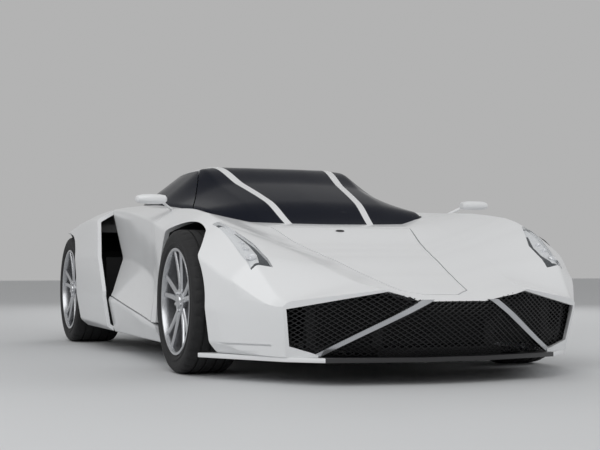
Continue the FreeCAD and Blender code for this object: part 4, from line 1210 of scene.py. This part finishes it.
def diamond_mesh(name, outline, spacing, width, tail=False):
    """Two families of bars at a slope each way, clipped to an outline and wrapped on the body's surface."""
    bm = bmesh.new()
    centre = Vector((sum(p[0] for p in outline), sum(p[1] for p in outline))) / len(outline)
    count = int(max((Vector(p) - centre).length for p in outline) / spacing) + 1
    section = ((-width / 2, 0), (width / 2, 0), (width / 2, BAR_DEEP), (-width / 2, BAR_DEEP))

    def bar(origin, along, side, start, stop):
        pieces = max(1, int((stop - start) / BAR_PART))
        rings = []
        for m in range(pieces + 1):
            p = origin + along * (start + (stop - start) * m / pieces)
            ring = []
            for a, d in section:
                q = p + side * a
                x = surface_x(q.x, q.y, tail) + (d if tail else -d)
                ring.append(bm.verts.new((x * MM, q.x * MM, q.y * MM)))
            rings.append(ring)
        for one, two in zip(rings, rings[1:]):
            bridge(bm, one, two)
        bm.faces.new(rings[0][::-1])
        bm.faces.new(rings[-1])

    for sign in (-1, 1):
        along = Vector((math.cos(BAR_SLOPE), sign * math.sin(BAR_SLOPE)))
        side = Vector((-along.y, along.x))
        for k in range(-count, count + 1):
            origin = centre + side * k * spacing
            for start, stop in crossings(outline, origin, along):
                if stop - start >= 4.0:
                    bar(origin, along, side, start, stop)
    bmesh.ops.recalc_face_normals(bm, faces=bm.faces)
    return finished(name, bm)


MOUTH_MESH = [(151, 354), (326, 398), (704, 324), (680, 163), (560, 124)]
TAIL_MIDDLE_MESH = [(124, 664), (562, 410)]
front_grille = diamond_mesh("mouth_mesh", mirrored(MOUTH_MESH), 17.0, 3.4)
dress(front_grille, MESH_BLACK, "body", ["front_mesh"], 40.0)
side_grille = diamond_mesh("tail_side_mesh", grow(TAIL_SIDE, 3.0), 15.0, 3.2, True)
middle_grille = diamond_mesh("tail_middle_mesh", mirrored(TAIL_MIDDLE_MESH), 15.0, 3.2, True)
tail_grille = joined("tail_meshes", pair(side_grille) + [middle_grille])
dress(tail_grille, MESH_BLACK, "body", ["tail_mesh"], 40.0)

# %% [markdown]
# ## Radiator
# Behind the mouth's mesh stands the radiator, a flat core of many thin fins between two tanks. The fins
# repeat evenly, so a small node tree sets copies of one fin along a line, with its sizes as named inputs.
# The bolt heads of the engine are set by a second tree of the same kind.

# %% Radiator and the trees that set fins and bolts
def tree_of(name, inputs, steps, links, finish):
    """A node tree with named inputs and steps, whose result is made solid and given a finish."""
    tree = bpy.data.node_groups.new(name, "GeometryNodeTree")
    tree.interface.new_socket("Geometry", in_out="INPUT", socket_type="NodeSocketGeometry")
    for label, kind in inputs:
        tree.interface.new_socket(label, in_out="INPUT", socket_type="NodeSocket" + kind)
    tree.interface.new_socket("Geometry", in_out="OUTPUT", socket_type="NodeSocketGeometry")
    steps = {"source": "NodeGroupInput", **steps, "place": "GeometryNodeInstanceOnPoints",
             "solid": "GeometryNodeRealizeInstances", "coat": "GeometryNodeSetMaterial",
             "result": "NodeGroupOutput"}
    made = {step: tree.nodes.new(kind) for step, kind in steps.items()}
    made["coat"].inputs["Material"].default_value = finish
    links += [("place", "Instances", "solid", "Geometry"), ("solid", "Geometry", "coat", "Geometry"),
              ("coat", "Geometry", "result", "Geometry")]
    for one, out, two, into in links:
        tree.links.new(made[one].outputs[out], made[two].inputs[into])
    return tree, made


FINS = tree_of(
    "fin_row", [("Count", "Int"), ("Start", "Vector"), ("Pitch", "Vector"), ("Fin Size", "Vector")],
    {"line": "GeometryNodeMeshLine", "fin": "GeometryNodeMeshCube"},
    [("source", "Count", "line", "Count"), ("source", "Start", "line", "Start Location"),
     ("source", "Pitch", "line", "Offset"), ("source", "Fin Size", "fin", "Size"),
     ("line", "Mesh", "place", "Points"), ("fin", "Mesh", "place", "Instance")], BLACK_PLASTIC)[0]
BOLTS, steps = tree_of(
    "bolt_heads", [("Radius", "Float"), ("Height", "Float"), ("Direction", "Vector")],
    {"head": "GeometryNodeMeshCylinder", "turn": "FunctionNodeAlignRotationToVector"},
    [("source", "Geometry", "place", "Points"), ("source", "Radius", "head", "Radius"),
     ("source", "Height", "head", "Depth"), ("source", "Direction", "turn", "Vector"),
     ("head", "Mesh", "place", "Instance"), ("turn", "Rotation", "place", "Rotation")], DISC_STEEL)
steps["head"].inputs["Vertices"].default_value = 6


def by_nodes(name, tree, values, points=()):
    """The plain mesh that a tree makes, from loose points or from nothing."""
    mesh = bpy.data.meshes.new(name)
    mesh.from_pydata([tuple(c * MM for c in p) for p in points], [], [])
    obj = new_object(name, mesh)
    mod = obj.modifiers.new(tree.name, "NODES")
    mod.node_group = tree
    for item in tree.interface.items_tree:
        if item.in_out == "INPUT" and item.name in values:
            mod[item.identifier] = values[item.name]
    baked(obj)
    print(name, len(obj.data.polygons), "faces by nodes")
    return obj


core = box(1932, 1944, -550, 550, 158, 352)
tanks = [soften(box(1926, 1964, y - 26, y + 26, 150, 360), 8.0, 3) for y in (-574, 574)]
FIN_ROW = {"Count": 26, "Start": (1.952, 0.0, 0.164), "Pitch": (0.0, 0.0, 0.0072),
           "Fin Size": (0.018, 1.10, 0.0016)}   # the trees' inputs are in metres
fins = by_nodes("radiator_fins", FINS, FIN_ROW)
dress(joined("radiator", tanks + [core, fins]), BLACK_PLASTIC, "body")

# %% [markdown]
# ## Engine
# Under the rear lid sits the engine with its two banks leaning apart. A long cover closes each bank, an air
# box lies between them and feeds each cylinder through a bent pipe, and the gearbox is bolted on behind.

# %% Engine, gearbox and their bolts
BLOCK = [(150, 198), (182, 240), (182, 330), (276, 452), (226, 520), (120, 430)]
BANK_COVER = [(279, 452), (288, 490), (264, 540), (236, 549), (222, 522)]
AIR_BOX = [(118, 520), (140, 560), (128, 616), (100, 635)]
PIPE = [(120, 572), (150, 584), (182, 582), (208, 560), (224, 520)]
GEARBOX = [(-1284, 142), (-1326, 142), (-1328, 122), (-1380, 116), (-1381, 124), (-1388, 124), (-1389, 115),
           (-1440, 110), (-1441, 118), (-1448, 118), (-1449, 109), (-1500, 106), (-1501, 114), (-1508, 114),
           (-1509, 105), (-1590, 98), (-1622, 86), (-1638, 58)]   # x and radius, with three raised ribs
SHAFT = 352   # the height of the gearbox's middle

block = soften(prism(mirrored(BLOCK), "x", -1285, -790), 6.0, 2)
ribs = [soften(box(x, x + 10, -186, 186, 214, 330), 2.0) for x in range(-1250, -800, 70)]
dress(joined("engine_block", [block] + ribs), ENGINE_ALLOY, "body", ["engine"])
covers = [soften(prism([(y * side, z) for y, z in BANK_COVER], "x", -1272, -803), 9.0, 3) for side in (1, -1)]
dress(joined("bank_covers", covers), CAST, "body")
air_box = [soften(prism(mirrored(AIR_BOX), "x", -1235, -845), 14.0, 3)]
air_box += [soften(box(x, x + 9, -92, 92, 630, 639.5), 1.5) for x in range(-1200, -860, 42)]
dress(joined("air_box", air_box), CARBON, "body")


def intake_pipe(x, side):
    """A bent pipe from the air box to a bank."""
    rings = []
    for i, (y, z) in enumerate(PIPE):
        y0, z0 = PIPE[max(i - 1, 0)]
        y1, z1 = PIPE[min(i + 1, len(PIPE) - 1)]
        length = math.hypot(y1 - y0, z1 - z0)
        ny, nz = -(z1 - z0) / length, (y1 - y0) / length
        rings.append([((x + 24 * c) * MM, side * (y + 19 * ny * s) * MM, (z + 19 * nz * s) * MM)
                      for c, s in circle(16)])
    return closed_loft("pipe", rings)


pipes = [intake_pipe(x, side) for x in range(-1210, -850, 84) for side in (1, -1)]
dress(joined("intake_pipes", pipes), ENGINE_ALLOY, "body", sharp=50.0)
rings = [[(x * MM, r * c * MM, (SHAFT + r * s) * MM) for c, s in circle(48)] for x, r in GEARBOX]
dress(closed_loft("gearbox_case", rings), ENGINE_ALLOY, "body")
heads = []
for side in (1, -1):
    rows = [(x, side * y, z) for y, z in ((264.5, 541.0), (288.5, 488.0)) for x in range(-1255, -810, 55)]
    small = {"Radius": 0.0055, "Height": 0.007, "Direction": (0.0, side * 0.84, 0.54)}
    heads.append(by_nodes("cover_bolts", BOLTS, small, rows))
ring = [(-1329, 133 * c, SHAFT + 133 * s) for c, s in circle(14)]
large = {"Radius": 0.007, "Height": 0.01, "Direction": (1.0, 0.0, 0.0)}
heads.append(by_nodes("bell_bolts", BOLTS, large, ring))
dress(joined("engine_bolts", heads), DISC_STEEL, "body", sharp=30.0)

# %% [markdown]
# ## Tail pipes
# Each pipe ends in a polished tip with a rolled edge, and from 50 mm in its bore is painted dark as painted
# shade.

# %% Tail pipes with rolled tips
TIP = [(0, 0), (0, 31), (150, 31), (160, 39.4), (283, 39.4), (288, 38.4), (289.6, 36.8), (288, 35.2),
       (283, 34.6), (175, 34.4), (174, 0)]
TIP_X, TIP_Y, TIP_Z = -1660, 70, 235
PAINTED_SHADE_RADIUS, BORE_RADIUS, PAINTED_SHADE_FROM = 0.0335, 0.0348, -1.90   # in metres, as are the faces' middles
tips = []
for y in (-TIP_Y, TIP_Y):
    tip = turned("tip", TIP, 48)
    tip.data.transform(at(TIP_X, y, TIP_Z) @ Matrix.Rotation(math.pi / 2, 4, "Z"))
    tips.append(tip)
tips = dress(joined("tail_pipes", tips), CHROME, "body", ["exhausts"])
# Painted shade: the faces deep in the bore, and the disc that closes it, take the dark cast finish.
tips.data.materials.append(CAST)
for polygon in tips.data.polygons:
    x, y, z = polygon.center
    reach = math.hypot(abs(y) - TIP_Y * MM, z - TIP_Z * MM)
    if reach < PAINTED_SHADE_RADIUS or (reach < BORE_RADIUS and x > PAINTED_SHADE_FROM):
        polygon.material_index = 1

# %% [markdown]
# ## Washer nozzle
# A small dark wedge near the bonnet's rear edge sprays the windscreen. It follows the lid's slope and opens
# with it.

# %% Washer nozzle
place, normal = on_wing(1005, -35)
nozzle = stacked("washer_nozzle", [(11, 24, -3), (11, 24, 2), (9, 21, 5), (4, 12, 6.5)], 16)
nozzle.data.transform(Matrix.Translation(place) @ turn_from((0, 0, 1), normal))
dress(nozzle, BLACK_PLASTIC, "bonnet", sharp=50.0)

# %% [markdown]
# ## Seats
# A racing-style seat is a stiff shell with foam pads in leather: a seat pad, a back pad, a head pad and a
# raised bolster along each edge. Foam under a tight cover swells between its seams, so each pad is blown up
# a little as cloth, and its channels are pressed in afterwards.

# %% Seat shell and pads
SEAT_SIDE = [(255, 141), (272, 262), (200, 270), (-150, 208), (-398, 690), (-450, 846), (-548, 846),
             (-538, 700), (-330, 141)]
SEAT_LINE = [(-150, 212), (60, 244), (205, 266)]
BACK_LINE = [(-175, 262), (-290, 482), (-375, 646)]
HEAD_LINE = [(-400, 694), (-448, 840)]
BOLSTER_LINE = [(-150, 214), (60, 246), (225, 262)]
WING_LINE = [(-170, 252), (-285, 473), (-378, 654)]
PADS = [   # name, line, middle and half breadth, thickness, and the channels' axis and places
    ("seat_pad", SEAT_LINE, 395, 148, 34, ("x", [-60, 20, 100, 180])),
    ("back_pad", BACK_LINE, 395, 140, 44, ("z", [330, 410, 490, 570])),
    ("head_pad", HEAD_LINE, 395, 92, 34, ("z", [])),
    ("outer_bolster", BOLSTER_LINE, 594, 40, 46, ("x", [])),
    ("inner_bolster", BOLSTER_LINE, 196, 40, 46, ("x", [])),
    ("outer_wing", WING_LINE, 586, 46, 78, ("z", [])),
    ("inner_wing", WING_LINE, 204, 46, 78, ("z", [])),
]
PAD_RINGS = 14
SWELL = 12.0
CHANNEL_DEEP, CHANNEL_WIDE = 7.0, 5.0


def along_line(line, share):
    """The point and the upward normal at a share of a bent line's length."""
    total = [0.0]
    for (x0, z0), (x1, z1) in zip(line, line[1:]):
        total.append(total[-1] + math.hypot(x1 - x0, z1 - z0))
    want = share * total[-1]
    i = max(j for j in range(len(line) - 1) if total[j] <= want + 1e-9)
    (x0, z0), (x1, z1) = line[i], line[i + 1]
    length = total[i + 1] - total[i]
    u = (want - total[i]) / length
    nx, nz = -(z1 - z0) / length, (x1 - x0) / length
    if nz < 0:
        nx, nz = -nx, -nz
    return x0 + (x1 - x0) * u, z0 + (z1 - z0) * u, nx, nz


def pad(name, line, middle, half, thick):
    """A crowned pad along a line of (x, z), its back on the line, its ends and edges rounded."""
    rings = []
    for k in range(PAD_RINGS):
        t = k / (PAD_RINGS - 1.0)
        x, z, nx, nz = along_line(line, 0.5 - 0.5 * math.cos(math.pi * t))
        round_end = max(0.25, (1.0 - (2.0 * t - 1.0) ** 4)) ** 0.5
        ring = []
        for c, s in circle(28):
            y = middle + half * (0.9 + 0.1 * round_end) * fuller(c, 0.55)
            up = thick * (0.5 + 0.5 * round_end * fuller(s, 0.7))
            ring.append(((x + nx * up) * MM, y * MM, (z + nz * up) * MM))
        rings.append(ring)
    return closed_loft(name, rings)


def blow_up(obj):
    """Swell a pad as tight cloth, with no point moving more than the swell."""
    mod = obj.modifiers.new("remesh", "REMESH")
    mod.mode = "VOXEL"
    mod.voxel_size = 0.006
    baked(obj)
    rest = [v.co.copy() for v in obj.data.vertices]
    cloth = obj.modifiers.new("cloth", "CLOTH")
    cloth.settings.quality = 5
    cloth.settings.use_pressure = True
    cloth.settings.uniform_pressure_force = 4.0
    cloth.settings.effector_weights.gravity = 0.0
    for number in range(1, 21):
        bpy.context.scene.frame_set(number)
    baked(obj)
    for vertex, old in zip(obj.data.vertices, rest):
        move = vertex.co - old
        if move.length > SWELL * MM:
            vertex.co = old + move.normalized() * SWELL * MM
    bpy.context.scene.frame_set(1)
    return obj


def press_channels(obj, axis, places):
    """Stitched channels pressed across a pad at the given places along x or z."""
    index = {"x": 0, "z": 2}[axis]
    obj.data.update()
    for vertex in obj.data.vertices:
        for place in places:
            away = (vertex.co[index] / MM - place) / CHANNEL_WIDE
            if abs(away) < 3.0:
                vertex.co -= vertex.normal * CHANNEL_DEEP * MM * math.exp(-away * away)


def kept_within(obj, node):
    """Hold a piece inside the box of the solid it covers."""
    low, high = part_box(node)
    for vertex in obj.data.vertices:
        vertex.co = [min(max(vertex.co[i], low[i]), high[i]) for i in range(3)]
    return obj


shell = soften(prism(SEAT_SIDE, "y", 152, 638), 14.0, 3)
for side, piece in (("left", copy_of(shell, "seat_shell_left")), ("right", twin(shell, "seat_shell_right"))):
    dress(kept_within(piece, "seat_" + side), BLACK_PLASTIC, "body", ["seat_" + side])
drop(shell)
for name, line, middle, half, thick, (axis, places) in PADS:
    piece = blow_up(pad(name, line, middle, half, thick))
    press_channels(piece, axis, places)
    other = twin(piece, name + "_right")
    piece.name = name + "_left"
    for one, side in ((piece, "left"), (other, "right")):
        dress(kept_within(one, "seat_" + side), LEATHER, "body", sharp=60.0)

# %% [markdown]
# ## Steering wheel
# The wheel's rim is leather over a core, flat at the bottom so that it clears the legs. Three spokes carry
# it from a padded boss on the column.

# %% Steering wheel
AXIS = Vector((-180, 0, 60)).normalized()
WHEEL_MIDDLE = Vector((270, 360, 710))
RIM_RADIUS = 165.0
FLAT = 0.82    # the share of the radius at which the bottom is flat
BOSS = [(36, -28), (38, -10), (37, -4), (33, 0), (22, 3), (8, 4)]
SPOKE = [(26, 1.0, -6), (60, 0.8, -10), (110, 0.62, -9), (156, 0.8, -4)]   # radius, breadth's share, height
COLUMN = [(22, -209), (24, -200), (24, -60), (30, -50), (30, -36)]


def on_column(obj, upright=True):
    """Turn a piece made about +Z to face along the column, with its flat side down."""
    turn = turn_from((0, 0, 1), AXIS)
    if upright:
        roll = turn.inverted() @ Vector((0, 1, 0))
        turn = turn @ Matrix.Rotation(math.atan2(roll.y, roll.x), 4, "Z")
    obj.data.transform(shift(WHEEL_MIDDLE) @ turn)
    return obj


def ring_of_wheel():
    """A ring of oval sections, thicker at the grips and cut flat on one side."""
    bm = bmesh.new()
    rings = []
    for c, s in circle(96):
        radius = RIM_RADIUS * FLAT / -s if s < -FLAT else RIM_RADIUS
        grip = 1.0 + 0.12 * math.exp(-((c ** 2 - 0.85) / 0.12) ** 2)
        ring = []
        for across_tube, up in circle(16):
            r = radius + 11.5 * grip * across_tube
            ring.append(bm.verts.new((r * c * MM, r * s * MM, 13.0 * grip * up * MM)))
        rings.append(ring)
    for one, two in zip(rings, rings[1:] + rings[:1]):
        bridge(bm, one, two)
    bmesh.ops.recalc_face_normals(bm, faces=bm.faces)
    return finished("steering_ring", bm)


def wheel_spoke(angle, wide):
    """A spoke of flat ovals, broad at the boss and at the rim."""
    rings = []
    for r, share, high in SPOKE:
        half = wide * share
        section = [(-half, -3), (-half + 3, 2), (0, 4), (half - 3, 2), (half, -3), (half - 4, -7), (0, -8),
                   (-half + 4, -7)]
        rings.append([(r * MM, a * MM, (high + b) * MM) for a, b in section])
    spoke = closed_loft("spoke", rings)
    spoke.data.transform(Matrix.Rotation(angle, 4, "Z"))
    return spoke


ring = on_column(ring_of_wheel())
spokes = [wheel_spoke(angle, wide) for angle, wide in ((0.0, 20), (math.pi, 20), (-math.pi / 2, 17))]
centre = on_column(joined("steering_centre", [stacked("boss", [(r, r, z) for r, z in BOSS], 32)] + spokes))
dress(kept_within(ring, "steering_wheel"), LEATHER, "body", ["steering_wheel"])
dress(kept_within(centre, "steering_wheel"), CAST, "body")

# %% [markdown]
# ## Dashboard
# The dashboard is one padded moulding from pillar to pillar, with a hood over the dials, a dark screen in
# the middle and round air vents. It follows the solid's own outline, with every edge rounded.

# %% Dashboard, dials, screen and vents
DASH = [(828, 562), (828, 638), (560, 727), (402, 727), (332, 690), (360, 602), (560, 522), (828, 482)]
SCREEN_FACE = [(-92, 618), (92, 618), (98, 626), (98, 672), (92, 680), (-92, 680), (-98, 672), (-98, 626)]
SCREEN_TURN = Matrix.Rotation(math.radians(-17), 4, "Y")
DASH_FACE = Vector((-0.94, 0, -0.3)).normalized()

dash = overlap(prism(DASH, "y", -600, 600), front_space, keep_tool=True)
column = on_column(stacked("column", [(r, r, z) for r, z in COLUMN], 24), upright=False)
dress(soften(dash, 10.0, 3), LEATHER, "body", ["dashboard"])
dress(column, BLACK_PLASTIC, "body")


def dash_ring(x, y, z, radius):
    """A round vent or dial, facing the driver, set into the dashboard's face."""
    profile = [(-8, 0), (-8, radius * 0.86), (2, radius), (5, radius * 0.96), (2, radius * 0.84),
               (-4, radius * 0.8), (-5, 0)]
    piece = turned("ring", profile, 32)
    piece.data.transform(shift(Vector((x, y, z))) @ turn_from((0, 1, 0), DASH_FACE))
    return piece


rings = [dash_ring(348, y, 646, 30) for y in (-540, -180, 180, 540)]
rings += [dash_ring(344, y, 652, 34) for y in (310, 410)]
dress(joined("dash_rings", rings), SILVER, "body")
screen_face = prism(SCREEN_FACE, "x", 0, 8)
middle = at(0, 0, 649)
screen_face.data.transform(at(338, 0, 0) @ middle @ SCREEN_TURN @ middle.inverted())
dress(soften(screen_face, 2.0), MESH_BLACK, "body")

# %% [markdown]
# ## Clearing the bench
# The solids that only served as tools are taken away, so that nothing but finished pieces is left.

# %% Remove the tools
drop(trim, trim_inner, front_solid, front_space, front_shell, rear_solid, rear_space, cabin_solid,
     cabin_space, cabin_shell, glass_space, glass_shell, door_space, screen_clear)

# %% [markdown]
# ## Light, floor and camera
# The photograph is taken low, from ahead and to one side. Soft, plain light keeps a white car white without
# clipping it.

# %% Stage
def area_light(name, place, target, size, power, mirrored_in_paint=True):
    """A soft rectangular lamp that looks at a target, in metres and watts."""
    lamp = bpy.data.lights.new(name, "AREA")
    lamp.shape = "RECTANGLE"
    lamp.size, lamp.size_y = size
    lamp.energy = power
    obj = new_object(name, lamp)
    obj.location = place
    obj.rotation_euler = (Vector(target) - Vector(place)).to_track_quat("-Z", "Y").to_euler()
    obj.visible_glossy = mirrored_in_paint


area_light("key", (4.6, -4.4, 5.6), (0.5, 0, 0.4), (9.0, 7.0), 290)
area_light("fill", (3.0, 6.5, 3.2), (0, 0, 0.4), (4.0, 2.5), 90, False)
area_light("tail_fill", (-7.0, 3.5, 4.0), (-0.5, 0, 0.5), (4.0, 2.5), 150, False)

world = bpy.data.worlds.new("studio")
bpy.context.scene.world = world
world.use_nodes = True
sky = world.node_tree.nodes["Background"]
sky.inputs["Color"].default_value = (1.0, 1.0, 1.0, 1.0)
sky.inputs["Strength"].default_value = 0.45

FLOOR_HALF = 40.0
mesh = bpy.data.meshes.new("floor")
mesh.from_pydata([(x * FLOOR_HALF, y * FLOOR_HALF, 0) for x, y in ((-1, -1), (1, -1), (1, 1), (-1, 1))], [],
                 [(0, 1, 2, 3)])
mesh.materials.append(material("studio_floor", (0.62, 0.63, 0.64), 0.8, scale=3.0, vary=0.05))
new_object("floor", mesh)

scene = bpy.context.scene
scene.view_settings.view_transform = "Standard"
lens = bpy.data.cameras.new("photo_camera")
lens.sensor_width = 36.0
lens.lens = 73.0
lens.clip_end = 200.0
camera = new_object("photo_camera", lens)
scene.camera = camera
YAW = math.radians(158.85)
PITCH = math.radians(2.0)
camera.location = (6.761, -2.482, 0.496)
look = Vector((math.cos(YAW) * math.cos(PITCH), math.sin(YAW) * math.cos(PITCH), math.sin(PITCH)))
camera.rotation_euler = look.to_track_quat("-Z", "Y").to_euler()
print("lights and camera set")
